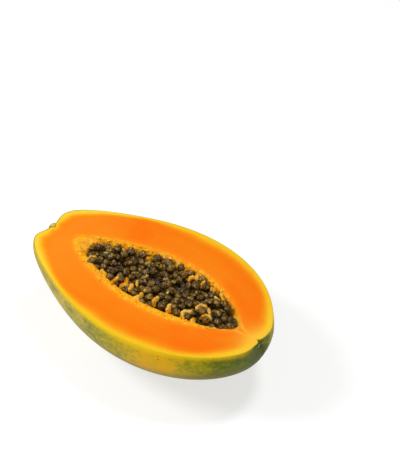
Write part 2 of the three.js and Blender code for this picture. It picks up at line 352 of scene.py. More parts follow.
def dent_scar(points):
    """Presses in the round scar at the blossom end."""
    out = np.hypot(points[..., 1] - SCAR_PLACE[0], points[..., 2] - SCAR_PLACE[1])
    dent = SCAR_DEPTH * np.clip(1 - (out / SCAR_RADIUS) ** 2, 0, 1) ** 0.5
    points[..., 0] -= np.where(points[..., 0] > 0, dent, 0)
    return points


def skin_rows(t, depth, columns):
    """Lines of points from the -Y rim under the belly to the +Y rim, with their turns."""
    right, left = rim_turns(t, depth)
    share = np.linspace(0, 1, columns)
    turn = left[:, None] + share * (2 * np.pi + right - left)[:, None]
    points = dent_scar(skin_point(t[:, None], turn, depth))
    points[..., 2] = np.maximum(points[..., 2], REST_HEIGHT + depth)
    return points, turn


scar_tip = dent_scar(skin_point(np.array([np.pi]), np.array([0.0]), 0))[0]
print(f"the blossom end, dented by its scar, is at x = {scar_tip[0]:.1f} mm")

# %% [markdown]
# ## Zones of the skin
#
# A papaya ripens in zones: this one is gold under its middle, green towards both ends, and on its
# far side it has long golden stripes. Zones like these could be painted by hand on an image. Here
# they are sums of soft hills and steps along and round the fruit, kept as marks on the rind's
# points, so that the material can mix its colours by them without an image. A hill and a step are
# each given by a middle and a width, in millimetres along x, y or z, or in radians of turn.

# %% Zones of the skin
STALK_PLACE = (0.9, 2.9)  # y and z of the stalk's axis
END_ZONE = 80  # the marks of the scar lie beyond this x, and those of the stalk before minus this
NEAR_EDGE = (4.4, 0.5)  # the turn where the near side ends, and how softly
LOW_EDGE = (3.75, 0.35)  # where the low part of the near side starts
RIPE_USUAL = (0.58, 0.38)  # on the near side and on the far side
NEAR_HILLS = ((0.36, 40, 24), (-0.14, -22, 22), (-0.08, -72, 22))  # rise, middle and width, along x
LOW_HILL = (0.12, -8, 36)
GREEN_STEP = (0.36, 66, 12)  # drop, place and width
FAR_HILLS = ((0.3, -75, 40), (-0.22, 40, 60))
STRIPES = ((0.3, 5.0, 0.28), (0.25, 5.9, 0.25))  # the same, by turn
GOLD_RIM = (0.35, 96, 9, 0.5)  # on the far rim at the blossom end; the last is its width by turn
SCAR_GREEN = ((0.1, 98, 8), (0.22, 99, 13))  # along x, and out from the scar
WAX_SHEEN_ALONG = (-50, 52)  # middle and width, on the near side
WAX_SHEEN_ROUND = (np.pi, 1.4)
WAX_SHEEN_LOW = (0.7, 1.7)  # how strong the wax and painted sheen are on the near side, and what its low part adds
WAX_SHEEN_END = (1.1, 108, 18)
WAX_SHEEN_END_SIDE = (10, 3)  # by y, where the wax and painted sheen at the blossom end start
BELLY_SIDES = ((3.5, 0.13), (5.6, 0.3))  # the turns between which painted shade darkens the skin
BELLY_ENDS = ((1, 104, 16), (0.7, -70, 40))  # where it is less so
CORK_RING = (6.6, 1.6)  # how far from the stalk's axis
CORK_SCAR = 2.0
CREASES = ((2.6, 2.2, 3.0, 1.8), (3.5, 1.8, -6.5, 4.5))  # y and width, z and width
RIM_WIDTH = (1.5, 1.6, 0, 20)  # least, what it gains towards the blossom end, and where
RIM_NARROW = (-0.7, 72, 22)
RIM_GAP = (0.95, 97, 19)  # the scar interrupts it: share, place and spread
BLOOM = (97, 11)
BLOOM_SIDE = (0.8, 11, 3)  # what it loses across y
DARK_EDGE_END = (-98, 4)


def hump(value, middle, width):
    """A smooth hill, 1 high."""
    return np.exp(-(((value - middle) / width) ** 2))


def humps(value, hills):
    return sum(rise * hump(value, middle, width) for rise, middle, width in hills)


def step_up(value, middle, width):
    """Goes smoothly from 0 to 1."""
    return 0.5 + 0.5 * np.tanh((value - middle) / width)


def ripeness_at(x, y, turn):
    """From 0 for deep green to 1 for gold."""
    far = step_up(turn, *NEAR_EDGE)
    drop, *green_place = GREEN_STEP
    near_side = RIPE_USUAL[0] + humps(x, NEAR_HILLS) - drop * step_up(x, *green_place)
    near_side = near_side + step_up(turn, *LOW_EDGE) * humps(x, [LOW_HILL])
    gold = humps(x, [GOLD_RIM[:3]]) * hump(turn, 2 * np.pi, GOLD_RIM[3])
    far_side = RIPE_USUAL[1] + humps(turn, STRIPES) + humps(x, FAR_HILLS) + gold
    along, (rise, scar_x, spread) = SCAR_GREEN
    green = humps(x, [along]) + rise * hump(np.hypot(x - scar_x, y), 0, spread)
    return near_side * (1 - far) + far_side * far - green


def wax_sheen_at(x, y, turn):
    """A thin grey film, partly wax and partly painted sheen, on the low near side and at the blossom end.
    """
    usual, more = WAX_SHEEN_LOW
    near = hump(x, *WAX_SHEEN_ALONG) * hump(turn, *WAX_SHEEN_ROUND) * (usual + more * step_up(turn, *LOW_EDGE))
    return near + humps(x, [WAX_SHEEN_END]) * step_up(y, *WAX_SHEEN_END_SIDE)


def shaded_belly(x, turn):
    """Painted shade on the underside, between the near side and the far side."""
    start, end = BELLY_SIDES
    middle = step_up(turn, *start) * (1 - step_up(turn, *end))
    return middle * (1 - humps(x, BELLY_ENDS[:1])) * (1 - humps(x, BELLY_ENDS[1:]))


def cork_at(x, y, z):
    """Dry cork: a ring round the stalk, and the middle of the scar."""
    ring = hump(np.hypot(y - STALK_PLACE[0], z - STALK_PLACE[1]), *CORK_RING) * (x < -END_ZONE)
    scar = hump(np.hypot(y - SCAR_PLACE[0], z - SCAR_PLACE[1]), 0, CORK_SCAR) * (x > END_ZONE)
    return ring + scar


def crease_shade(x, y, z):
    """Painted shade in the creases above and below the scar."""
    return sum(hump(y, *row[:2]) * hump(z, *row[2:]) for row in CREASES) * (x > END_ZONE)


def light_under_rim(x, y, z):
    """Where the yellow flesh shows through the skin, just under the cut."""
    least, gain, *place = RIM_WIDTH
    width = least + gain * step_up(x, *place) + humps(x, [RIM_NARROW])
    loss, scar_x, spread = RIM_GAP
    return hump(z, CUT_HEIGHT, width) * (1 - loss * hump(np.hypot(x - scar_x, y), 0, spread))


def rind_zones(points, turn):
    """What the skin's colour follows. `turn` is pi at the near rim and 2 pi at the far one."""
    x, y, z = np.moveaxis(points, -1, 0)
    loss, *side = BLOOM_SIDE
    return {
        "ripeness": ripeness_at(x, y, turn),
        "wax_sheen": wax_sheen_at(x, y, turn),
        "cork": cork_at(x, y, z),
        "rim_light": light_under_rim(x, y, z),
        "underside": shaded_belly(x, turn),
        "crease": crease_shade(x, y, z),
        "bloom": hump(x, *BLOOM) * (1 - loss * step_up(y, *side)),
        "dark_rim": 1 - step_up(x, *DARK_EDGE_END),
    }


for x in (-80, 0, 80):
    near, far = ripeness_at(x, -50, 3.3), ripeness_at(x, 50, 6.1)
    print(f"ripeness at x = {x}: {near:.2f} by the near rim, {far:.2f} by the far rim")

# %% [markdown]
# ## The rind
#
# The rind is a skin barely thicker than card. At the cut its edge shows as a thin olive line round
# the orange. It could be only a colour on the flesh, but a real shell has a real edge, so the ball
# is folded down inside itself: half of its columns run over the outside and half run back along the
# inside.

# %% Rind shell
RIND_THICKNESS = 0.55
RIND_RINGS = 220
RIND_COLUMNS = 112  # over the outside, and as many again over the inside


def make_rind():
    t = ring_places(RIND_RINGS, 0)
    outside, turn = skin_rows(t, 0, RIND_COLUMNS)
    inside, _ = skin_rows(ring_places(RIND_RINGS, RIND_THICKNESS), RIND_THICKNESS, RIND_COLUMNS)
    inside[[0, -1]] = outside[[0, -1]]
    zones = rind_zones(outside, turn)
    marks = {name: np.hstack([values, values[:, ::-1]]) for name, values in zones.items()}
    marks["into_rind"] = np.hstack([np.zeros_like(turn), np.ones_like(turn)])
    return shaped_ball("rind", np.hstack([outside, inside[:, ::-1]]), marks)


rind = make_rind()

# %% [markdown]
# ## The seed hollow
#
# The hollow runs nearly from end to end, is widest past the middle, and has the soft five-cornered
# section that all papayas have. An egg-shaped hole would be simpler, but seeds and lining show its
# outline clearly. Its wall is lined with a paler, softer tissue that the seeds grew on. On the near
# side the lining leans back as a narrow ledge, and on the far side it drops away steeply, so the
# two sides get rules of their own for how fast the ground falls from the cut face.

# %% Hollow rules
HOLLOW_MIDDLE = -6.8
HOLLOW_REACH = 84.2
HOLLOW_RADIUS = 29.4
HOLLOW_TAPER = 1.83
HOLLOW_PEAR = -0.16
HOLLOW_LEAN = (0.093, -0.095)
HOLLOW_CORNERS = 0.05
LINING = 1.3  # how much further out the lining's upper edge stands than the solid's wall
RIM_TURN = 0.2  # of the hollow's rim, seen from the core line
LEDGE_WIDTH = 4.6  # of the nearly level ledge on the near side
LEDGE_FALL = (0.1, 0.5, 1.6)  # its slope, and how fast and how curved it falls beyond its width
WALL_FALL = (1.1, 0.12)  # slope and curve of the far side
THINNING = (0.8, 48, 10)  # what ledge and lining lose towards the blossom end, where, how softly
TIP_START = -68  # the seedless tip lies before this place
TIP_LENGTH = 12
TIP_DEPTH = 0.9  # at its own end, and deeper from there by its slope
TIP_SLOPE = 0.08
TIP_DROP = 4.0  # slope down from the tip to where the seeds lie


def hollow_radius(x, turn, wider=0.0):
    """How far the hollow's wall stands from the core line at x."""
    cosine = np.clip((HOLLOW_MIDDLE - x) / (HOLLOW_REACH + wider), -1, 1)
    lean = 1 + (HOLLOW_LEAN[0] + HOLLOW_LEAN[1] * cosine) * np.cos(turn)
    corners = 1 + HOLLOW_CORNERS * np.cos(RIBS * (turn - RIB_CREST))
    taper = (1 - cosine**2) ** (HOLLOW_TAPER / 2) * (1 + HOLLOW_PEAR * cosine)
    return HOLLOW_RADIUS * taper * lean * corners


def hollow_edge(x, side):
    """Half width of the hollow's mouth at the cut face, on the side +1 or -1."""
    turn = RIM_TURN if side > 0 else np.pi - RIM_TURN
    radius = hollow_radius(x, turn, LINING) + LINING
    return np.sqrt(np.maximum(radius**2 - CUT_HEIGHT**2, 0))


def kept(x):
    """Share of the ledge and the lining that is left at x."""
    loss, *place = THINNING
    return 1 - loss * step_up(x, *place)


def hollow_fall(x, y):
    """How far the hollow's ground lies below the cut face."""
    from_right = np.maximum(hollow_edge(x, 1) - y, 0)
    from_left = np.maximum(y + hollow_edge(x, -1), 0)
    right = WALL_FALL[0] * from_right + WALL_FALL[1] * from_right**2
    slope, fall, curve = LEDGE_FALL
    left = slope * from_left + fall * np.maximum(from_left - LEDGE_WIDTH * kept(x), 0) ** curve
    tip = TIP_DEPTH + TIP_SLOPE * (TIP_LENGTH + np.minimum(x - TIP_START, 0))
    tip = tip + TIP_DROP * np.maximum(x - TIP_START, 0)
    deepest = np.minimum(np.maximum(hollow_radius(x, -np.pi / 2), 0), tip)
    return np.minimum(np.minimum(right, left), deepest)


for x in (-60, 0, 60):
    print(f"hollow mouth at x = {x}: {-hollow_edge(x, -1):.1f} to {hollow_edge(x, 1):.1f} mm")

# %% [markdown]
# ## Rows over the cut face
#
# The cut face is one wide plane with the hollow in it. Its rows run from the far rim down into the
# hollow and up to the near rim, closer together where the surface bends. Straight rows would cut
# the corner at both ends, where the dimples leave a notch in the outline, so the last rows bend
# round the notch a little less from one to the next.

# %% Rows over the cut face
FACE_COLUMNS = 26
HOLLOW_COLUMNS = 71
SLIT = 0.25  # half width left to the hollow's columns past its ends
HOLLOW_SHARE = 0.5  # at most this share of the half width goes to them
BEND_REACH = 16  # the rows bend round a notch from this far before it
BEND_SLOPE = 0.3
LEVEL_SLACK = 1e-6  # a rim this close to the cut face lies on it
TINY = 1e-9  # keeps a division from dividing by nothing


def eased(count):
    """Shares from 0 to 1 that crowd together at both ends."""
    return (1 - np.cos(np.linspace(0, np.pi, count))) / 2


def from_rims(y, right_rim, left_rim):
    """How far each place of the rows lies from the nearer of the two rims."""
    return np.maximum(np.minimum(right_rim[..., 1] - y, y - left_rim[..., 1]), 0)


def bend_rows(x_rows, y, right_rim, left_rim, end):
    """Bends the rows at one end, +1 or -1, round the notch that the dimple leaves in the outline."""
    reach = end * (right_rim[:, 0] + left_rim[:, 0]) / 2
    cut = np.flatnonzero(right_rim[:, 2] > CUT_HEIGHT - LEVEL_SLACK)
    peaks = [int(np.argmax(end * rim[:, 0])) for rim in (right_rim, left_rim)]
    farthest = min(peaks) if end > 0 else max(peaks)
    rings = np.arange(farthest, cut[-1] + 1) if end > 0 else np.arange(farthest, cut[0] - 1, -1)
    outline = np.vstack([left_rim[rings], right_rim[rings][::-1]])
    notched = np.interp(y, outline[:, 1], end * outline[:, 0])
    straight = np.interp(y, outline[[0, -1], 1], end * outline[[0, -1], 0])
    room = from_rims(y, right_rim[farthest], left_rim[farthest])
    share = np.clip(1 - (reach[farthest] - reach) / BEND_REACH, 0, 1)[:, None]
    bent = end * x_rows - share * (straight - notched + BEND_SLOPE * room)
    beyond = from_rims(y[rings], right_rim[rings][:, None], left_rim[rings][:, None])
    bent[rings] = notched[rings] - BEND_SLOPE * beyond
    bent[:cut[0]] = end * x_rows[:cut[0]]
    bent[cut[-1] + 1:] = end * x_rows[cut[-1] + 1:]
    return end * bent


def face_rows(t, depth):
    """Rows over the cut face and through the hollow, from the +Y rim to the -Y rim."""
    right, left = rim_turns(t, depth)
    right_rim = dent_scar(skin_point(t, right, depth))
    left_rim = dent_scar(skin_point(t, left, depth))
    middle = (right_rim + left_rim) / 2
    x = middle[:, 0]
    room = HOLLOW_SHARE * (right_rim[:, 1] - left_rim[:, 1]) / 2
    edge_right = np.maximum(hollow_edge(x, 1), SLIT)
    edge_left = -np.maximum(hollow_edge(x, -1), SLIT)
    edge_right = middle[:, 1] + np.clip(edge_right - middle[:, 1], 0, room)
    edge_left = middle[:, 1] - np.clip(middle[:, 1] - edge_left, 0, room)
    down_right = right_rim[:, 1:2] + eased(FACE_COLUMNS) * (edge_right - right_rim[:, 1])[:, None]
    across = edge_right[:, None] + eased(HOLLOW_COLUMNS) * (edge_left - edge_right)[:, None]
    up_left = edge_left[:, None] + eased(FACE_COLUMNS) * (left_rim[:, 1] - edge_left)[:, None]
    y = np.hstack([down_right[:, 1:], across[:, 1:-1], up_left[:, :-1]])
    width = np.maximum(right_rim[:, 1] - left_rim[:, 1], TINY)[:, None]
    share = (right_rim[:, 1:2] - y) / width
    x_rows = right_rim[:, :1] + share * (left_rim[:, :1] - right_rim[:, :1])
    for end in (1, -1):
        x_rows = bend_rows(x_rows, y, right_rim, left_rim, end)
    top = np.minimum(np.maximum(right_rim[:, 2], left_rim[:, 2]), CUT_HEIGHT)[:, None]
    return np.stack([x_rows, y, np.broadcast_to(top, y.shape)], axis=-1), right_rim, left_rim


print("points in each row over the cut face:", 2 * FACE_COLUMNS + HOLLOW_COLUMNS - 4)

# %% [markdown]
# ## Distances and noise
#
# The colour of the flesh follows two distances: it is yellow under the rind, orange in the middle
# and paler again beside the seeds. A material can't measure distances by itself, so they are
# measured here and kept on the points. Smooth noise gives the small unevenness that no rule has.

# %% Distances and noise
MOUTH_POINTS = 300  # along each side of the hollow's edge


def distance_to(points, line):
    """Each point's distance to the nearest point of a line, seen from above."""
    flat = points.reshape(-1, 3)[:, :2]
    nearest = [np.hypot(*(row - line[:, :2]).T).min() for row in flat]
    return np.array(nearest).reshape(points.shape[:-1])


def along_line(corners, step):
    """Evenly spaced places on a line of straight stretches."""
    line = np.array(corners, dtype=float)
    run = np.concatenate([[0], np.cumsum(np.hypot(*np.diff(line, axis=0).T))])
    stops = np.linspace(0, run[-1], max(2, round(run[-1] / step) + 1))
    return np.stack([np.interp(stops, run, line[:, 0]), np.interp(stops, run, line[:, 1])], axis=-1)


def lump_noise(points, size, seed):
    """Smooth noise from -1 to 1 with lumps of about `size` millimetres."""
    flat = points.reshape(-1, 3) / size + seed
    return np.array([noise.noise(Vector(place)) for place in flat]).reshape(points.shape[:-1])


def hollow_mouth():
    """The line of the hollow's edge on the cut face, both sides one after the other."""
    x = np.linspace(HOLLOW_MIDDLE - HOLLOW_REACH, HOLLOW_MIDDLE + HOLLOW_REACH, MOUTH_POINTS)
    sides = []
    for side in (1, -1):
        edge = hollow_edge(x, side)
        sides.append(np.stack([x, side * edge, 0 * x], axis=-1)[edge > 0])
    return np.vstack(sides)


print("points on the hollow's mouth:", len(hollow_mouth()))

# %% [markdown]
# ## The flesh
#
# The flesh is one thick body: its outside lies just inside the rind, its top is the cut face, and
# the hollow sinks into it. A hollow could be cut out with a Boolean modifier, which would leave a
# ragged edge. Here the ball's columns simply go round each slice: over the skin first, then across
# the face and through the hollow. Some marks tell the material about this very fruit: where its
# yellow band is wide or narrow, where the flesh is deeper orange, and two pale veins that run
# together from the hollow to the blossom end.

# %% Flesh body
FLESH_RINGS = 300
SKIN_COLUMNS = 81
FACE_RIPPLE = (0.09, 9, 7.7, 2)  # height, size, noise seed, and how far from the rim it is whole
LINING_LUMPS = (0.55, 2.6, 3.1, 1.5)  # the same, with the reach outside the hollow
LUMPS_FROM = 0.05  # the lumps start where the ground has fallen this far
BAND_LEAST = 0.35  # width of the yellow band, against its usual width of 1
BAND_HILLS = ((0.42, -112, 20), (-0.45, -60, 30), (-0.38, 60, 18), (-0.12, -50, 16))
BAND_FAR = (-0.14, 0, 75)  # the band is a little narrower on the far side
BAND_SIDES = (0, 4)  # where the far side starts, and how softly
BAND_SCAR = (0.5, 95, 11)
BY_STALK = (-104, 0.9, 9)  # x, y and spread of the place where the stalk's cork takes over
STALK_LOSS = 0.9
DEEP_BLOSSOM = (0.8, 58, 24)
DEEP_FAR = (0.6, -46, 26)
DEEP_NEAR = (0.25, 20, 24)
DEEP_SIDES = (0, 6)
PALE_ENDS = ((0.85, -92, 36), (0.55, 96, 16))
PALE_TIP = (1.2, 92, -0.6, 14)  # how pale, x, y and spread
LINING_FADE = 1.6  # how much thinner the lining gets towards the blossom end
FAR_AWAY = 20  # stands for the skin's distance from the hollow
TIP_SHALLOW = (-65, -3)  # before this x, nothing counts as further inside the hollow than this
VEIN_WIDTH = 1.45
VEIN_STEP = 0.5
VEINS = (  # places along each
    ((63.6, 10.3), (68.3, 6.8), (76.3, 2.5), (80.5, 1.4), (84.6, 0.4), (89.5, -0.6)),
    ((73.0, -2.1), (79.5, -1.7), (85.1, -0.2), (89.5, -0.6)),
)


def sunken(face, from_rim, from_hollow):
    """Sinks the hollow into the flat rows, with a lumpy lining and a faint ripple on the face."""
    x, y = face[..., 0], face[..., 1]
    fall = np.where(from_hollow < 0, hollow_fall(x, y), 0)
    height, size, seed, reach = LINING_LUMPS
    lumps = height * lump_noise(face, size, seed) * np.clip(1 - from_hollow / reach, 0, 1)
    height, size, seed, reach = FACE_RIPPLE
    ripple = height * lump_noise(face, size, seed) * np.clip(from_rim / reach, 0, 1)
    face[..., 2] -= np.maximum(fall + lumps * (fall > LUMPS_FROM) - ripple, 0)
    return face


def flesh_zones(x, y, from_rind):
    """The marks that cover skin and face alike."""
    by_stalk = STALK_LOSS * hump(np.hypot(x - BY_STALK[0], y - BY_STALK[1]), 0, BY_STALK[2])
    band = 1 + humps(x, BAND_HILLS) + humps(x, [BAND_FAR]) * step_up(y, *BAND_SIDES)
    band = np.maximum(band - by_stalk, BAND_LEAST) + humps(x, [BAND_SCAR])
    far = step_up(y, *DEEP_SIDES)
    sides = far * humps(x, [DEEP_FAR]) + (1 - far) * humps(x, [DEEP_NEAR])
    return {
        "deep": humps(x, [DEEP_BLOSSOM]) + sides,
        "from_rind": from_rind / band,
        "pale_end": humps(x, PALE_ENDS) * (1 - by_stalk),
    }


def make_flesh():
    t = ring_places(FLESH_RINGS, RIND_THICKNESS)
    skin, _ = skin_rows(t, RIND_THICKNESS, SKIN_COLUMNS)
    face, right_rim, left_rim = face_rows(t, RIND_THICKNESS)
    x, y = face[..., 0], face[..., 1]
    from_rim = distance_to(face, np.vstack([right_rim, left_rim]))
    inside = (y < hollow_edge(x, 1)) & (y > -hollow_edge(x, -1))
    from_hollow = distance_to(face, hollow_mouth()) * np.where(inside, -1, 1)
    veins = np.min([distance_to(face, along_line(line, VEIN_STEP)) for line in VEINS], axis=0)
    pale_tip = PALE_TIP[0] * hump(np.hypot(x - PALE_TIP[1], y - PALE_TIP[2]), 0, PALE_TIP[3])
    face = sunken(face, from_rim, from_hollow)
    tip, shallow = TIP_SHALLOW
    from_hollow = np.where(x < tip, np.maximum(from_hollow, shallow), from_hollow)
    on_skin = np.zeros(skin.shape[:2])
    points = np.hstack([skin, face])
    marks = flesh_zones(points[..., 0], points[..., 1], np.hstack([on_skin, from_rim]))
    marks["from_hollow"] = np.hstack([on_skin + FAR_AWAY, from_hollow + LINING_FADE * (1 - kept(x))])
    marks["vein"] = np.hstack([on_skin, np.maximum(hump(veins, 0, VEIN_WIDTH), pale_tip)])
    return shaped_ball("flesh", points, marks)


flesh = make_flesh()

# %% [markdown]
# ## Pulp and margin seeds
#
# Along the rim of the hollow the pulp that carried the seeds still stands: short fingers reach in
# from the near ledge, and thin curved walls are left of the cups that single seeds sat in. Scattered
# at random they would look like litter, because each one grew beside a seed. So both are drawn here
# as lines of points seen from above, each with a width, and the bigger seeds beside them have
# places of their own as well. All of these go in first, and the rest of the seeds fill in between.

# %% Pulp lines and margin seeds
PULP_LINES = (  # width, then places along the line
    (2.9, (-28.5, -19.6), (-28.9, -15.9), (-28.9, -12.5)),
    (2.4, (-21.1, -19.2), (-21.7, -16.3)),
    (2.8, (-18.6, -15.9), (-21.1, -12.4), (-22.6, -9.5)),
    (3.2, (-13.6, -16.6), (-14.8, -14.2), (-15.6, -12.1)),
    (1.8, (-12.7, -9.8), (-14.7, -7.3)),
    (3.6, (-3.7, -20.5), (-4.0, -17.7), (-4.3, -14.0)),
    (2.4, (9.3, -17.7), (7.8, -13.7), (7.2, -9.5)),
    (3.2, (23.1, -17.3), (20.8, -13.9), (19.4, -11.1)),
    (2.8, (43.5, -14.0), (41.9, -11.4)),
    (2.4, (-42.9, -14.6), (-37.1, -15.5)),
    (2.6, (-24.6, 17.6), (-23.4, 19.6)),
    (2.2, (-2.6, 24.4), (-2.6, 26.4)),
    (2.0, (5.2, 26.0), (7.4, 27.0)),
    (2.4, (33.0, 21.5), (37.2, 22.2)),
    (1.6, (40.2, 15.9), (44.1, 15.6)),
    (2.0, (41.7, 21.1), (47.2, 17.5)),
    (2.6, (-69.5, 5.6), (-67.5, 7.2)),
    (2.4, (-64.7, 8.3), (-62.7, 9.4)),
    (2.4, (-68.9, -3.4), (-65.4, -7.4)),
    (2.0, (-46.6, 13.8), (-43.8, 15.2)),
    (2.2, (-40.4, 18.2), (-37.8, 19.6)),
    (2.4, (-19.4, 26.2), (-16.4, 26.8)),
    (2.2, (-12.0, 28.0), (-9.6, 28.0)),
    (2.0, (-5.4, 28.2), (-3.6, 27.2)),
    (2.2, (14.6, 26.6), (17.0, 25.6)),
)
CUPS = (  # width, then places round the seed that sat inside
    (2.5, (34.6, -15.8), (31.7, -11.8), (32.0, -8.4), (35.6, -7.2)),
    (2.2, (36.6, -0.6), (37.3, 3.2), (40.6, 4.0)),
    (1.8, (44.6, 2.6), (47.4, 0.6)),
    (2.1, (45.6, -4.6), (47.4, -2.2), (50.6, -2.6)),
    (2.4, (14.2, 17.6), (13.3, 20.2), (15.0, 22.9)),
    (2.4, (17.8, 22.4), (16.6, 25.6), (17.7, 27.8)),
    (2.0, (24.7, 19.0), (24.2, 21.4), (24.1, 23.3)),
    (2.6, (-59.4, -11.8), (-59.8, -7.9), (-57.2, -6.6)),
)
MARGIN_SEEDS = (  # x, y and radius
    (-56.8, -11.2, 3.2), (-45.4, -9.6, 3.0), (-35.3, -14.9, 2.9), (-25.7, -17.0, 1.9),
    (-17.0, -18.6, 2.9), (-9.4, -16.4, 3.2), (2.4, -13.6, 3.7), (15.0, -14.1, 3.3),
    (27.5, -13.4, 3.1), (36.6, -11.6, 3.0), (41.2, -0.8, 3.3), (49.7, -6.7, 3.0),
    (52.4, 4.1, 3.2), (57.3, -2.4, 3.0), (55.1, 11.9, 3.2), (63.0, 4.3, 2.9),
    (-66.4, 0.4, 2.7), (-62.6, 4.6, 2.8), (-61.6, -5.4, 2.8), (-57.0, 8.6, 3.0),
    (-50.0, 12.2, 3.1), (-40.3, 15.6, 3.3), (-31.0, 18.6, 3.3), (-19.6, 21.6, 3.8),
    (-9.0, 23.6, 3.3), (1.1, 25.2, 3.2), (11.0, 25.2, 3.1), (21.2, 24.6, 3.4),
    (28.4, 21.0, 3.2), (36.8, 16.6, 3.0),
)
PULP_STEP = 0.4  # between a line's lumps, as a share of its width

pulp_lines = [(width, along_line(corners, PULP_STEP * width)) for width, *corners in PULP_LINES + CUPS]
print("pulp lines:", len(pulp_lines), "margin seeds:", len(MARGIN_SEEDS))

# %% [markdown]
# ## The bed of seeds
#
# The seeds are small wet balls that fill the hollow to just below the cut. On a flat bed they would
# look like beads in a tray. So their bed is gently uneven, with a few sunken places. Along the wall
# a strip of pulp stays free of seeds, wider on the near ledge than on the steep far side. Everything
# random below draws its numbers from a stream of its own. Python's random module could do that too,
# but this short rule gives the same numbers in any language, so the same heap can be made elsewhere.

# %% Seed bed
SEED_CROWN = 1.4  # of the bed below the cut face
BED_WAVES = (0.9, 0.11, 0.17, 1.3)  # rise, along, across and phase: the bed isn't quite level
HOLES = (  # x, y, radius and depth
    (-36, -2, 6, 6), (-24, 6, 6, 6), (-4, 6, 6, 5), (16, 8, 6, 4), (35, 9, 5, 4),
)
LEDGES = (2.6, 1.1)  # how much of the margin stays clear of seeds on the near and far side
STREAMS = {"seed turns": 9, "seed tints": 5, "pulp": 31, "bits": 53, "crumbs": 97, "threads": 61}


WORD = 2 ** 32  # the stream works in whole numbers of 32 bits
STRIDE = 0x6D2B79F5  # an odd step, so that the state passes through every one of them


def number_stream(seed):
    """A repeatable stream of numbers from 0 to 1. The shifts only mix up the bits of the state."""
    mask = WORD - 1
    state = seed
    while True:
        state = (state + STRIDE) & mask
        mixed = ((state ^ (state >> 15)) * (1 | state)) & mask
        mixed ^= (mixed + (((mixed ^ (mixed >> 7)) * (61 | mixed)) & mask)) & mask
        yield ((mixed ^ (mixed >> 14)) & mask) / WORD


def bed_height(x, y):
    rise, along, across, phase = BED_WAVES
    height = CUT_HEIGHT - SEED_CROWN + rise * np.sin(x * along + phase) * np.cos(y * across)
    for hole_x, hole_y, radius, depth in HOLES:
        height = height - depth * np.exp(-((x - hole_x) ** 2 + (y - hole_y) ** 2) / radius**2)
    return height


def room_at(x, turn, clear):
    """The farthest from the core line that something may stand and stay clear of the wall."""
    slope = (hollow_radius(x + 1, turn) - hollow_radius(x - 1, turn)) / 2
    near, far = (np.clip(side * np.cos(turn), 0, 1) ** 0.5 for side in (-1, 1))
    ledge = LEDGES[0] * near + LEDGES[1] * far
    return hollow_radius(x, turn) - (clear + ledge * kept(x)) * np.hypot(1, slope)


for x in (-60, -36, 0, 60):
    print(f"bed at x = {x}: {CUT_HEIGHT - bed_height(x, 0):.1f} mm below the cut face")

# %% [markdown]
# ## Loose seeds
#
# The seeds could be dropped in with a physics simulation, but a rule is quicker and gives the same
# heap each time. They start loosely on a honeycomb, each a little out of its place and with a size
# of its own. A second layer below the first fills the gaps, so that nothing shows between the
# seeds but more seeds.

# %% Loose layers of seeds
SEED_RADIUS = (2.55, 3.5)
SEED_PITCH = 6.1
SEED_JITTER = 0.85
SEED_TUCK = 0.75  # share of its radius by which a loose seed stays off the wall
SEED_START = -67.2
SEED_SCATTER = (1.9, 1.5, 2.6)  # from the bed: at the start, then up and down after settling
HOLE_MOUTH = 0.6  # share of a hole's radius in which the top layer has no seeds
CLEAR = 0.4
LAYERS = ((2024, 0), (77, 4.4))  # number stream and depth below the bed


def start_layer(seed, sink):
    """Loose rows of seeds over the bed, as (x, y, z, radius, three turns, sink)."""
    chance = number_stream(seed)
    row_step = SEED_PITCH * math.sqrt(0.75)
    rows = math.ceil(HOLLOW_RADIUS / row_step) + 1
    columns = math.ceil(2 * HOLLOW_REACH / SEED_PITCH)
    layer = []
    for row in range(-rows, rows + 1):
        for column in range(columns):
            draws = [next(chance) for _ in range(7)]
            sway = [(draw - 0.5) * SEED_PITCH * SEED_JITTER for draw in draws[:2]]
            x = SEED_START + (column + (row & 1) * 0.5) * SEED_PITCH + sway[0]
            y = row * row_step + sway[1]
            radius = SEED_RADIUS[0] + (SEED_RADIUS[1] - SEED_RADIUS[0]) * draws[2]
            z = bed_height(x, y) + (draws[3] * 2 - 1) * SEED_SCATTER[0] - sink
            if not SEED_START <= x <= HOLLOW_MIDDLE + HOLLOW_REACH:
                continue
            if sink == 0 and any(math.dist((x, y), hole[:2]) < HOLE_MOUTH * hole[2] for hole in HOLES):
                continue
            room = room_at(x, math.atan2(z, y), radius * SEED_TUCK + CLEAR)
            if room > 0 and math.hypot(y, z) < room:
                layer.append((x, y, z, radius, *(draw * 2 * math.pi for draw in draws[4:]), sink))
    return layer


loose_seeds = [seed for stream, sink in LAYERS for seed in start_layer(stream, sink)]
print("loose seeds:", len(loose_seeds))

# %% [markdown]
# ## The seeds settle
#
# Loose seeds would overlap, so they push each other apart in small steps until they lie side by
# side, and give way to the pulp and to the margin seeds, which stay where they are. After each step
# they are brought back to the bed and into the hollow. The pushing works on all pairs at once, as
# tables of numbers, which is far quicker than a loop over every pair.

# %% Seed places
SEED_SQUASH = (1.1, 0.96, 0.9)  # a seed's three half sizes, as shares of its radius
MARGIN_SINK = 1.1  # the middles of the margin seeds lie this far below the cut face
PULP_SHARE = 0.45  # of a pulp line's width, which seeds keep off
START_CLEAR = 0.7  # seeds start at least this share of their radii from what has a place already
SEEDS_APART = 0.92
SETTLE_ROUNDS = 24
SETTLE_SHARE = 0.3  # of an overlap that is pushed away in each step


def fixed_places():
    """The margin seeds, then the pulp, in the same form as the loose seeds."""
    chance = number_stream(STREAMS["seed turns"])
    still = [
        (x, y, CUT_HEIGHT - MARGIN_SINK, radius, *(next(chance) * 2 * math.pi for _ in range(3)), 0)
        for x, y, radius in MARGIN_SEEDS
    ]
    pulp = [
        (*place, CUT_HEIGHT, PULP_SHARE * width, 0, 0, 0, 0)
        for width, line in pulp_lines for place in line
    ]
    return still, pulp


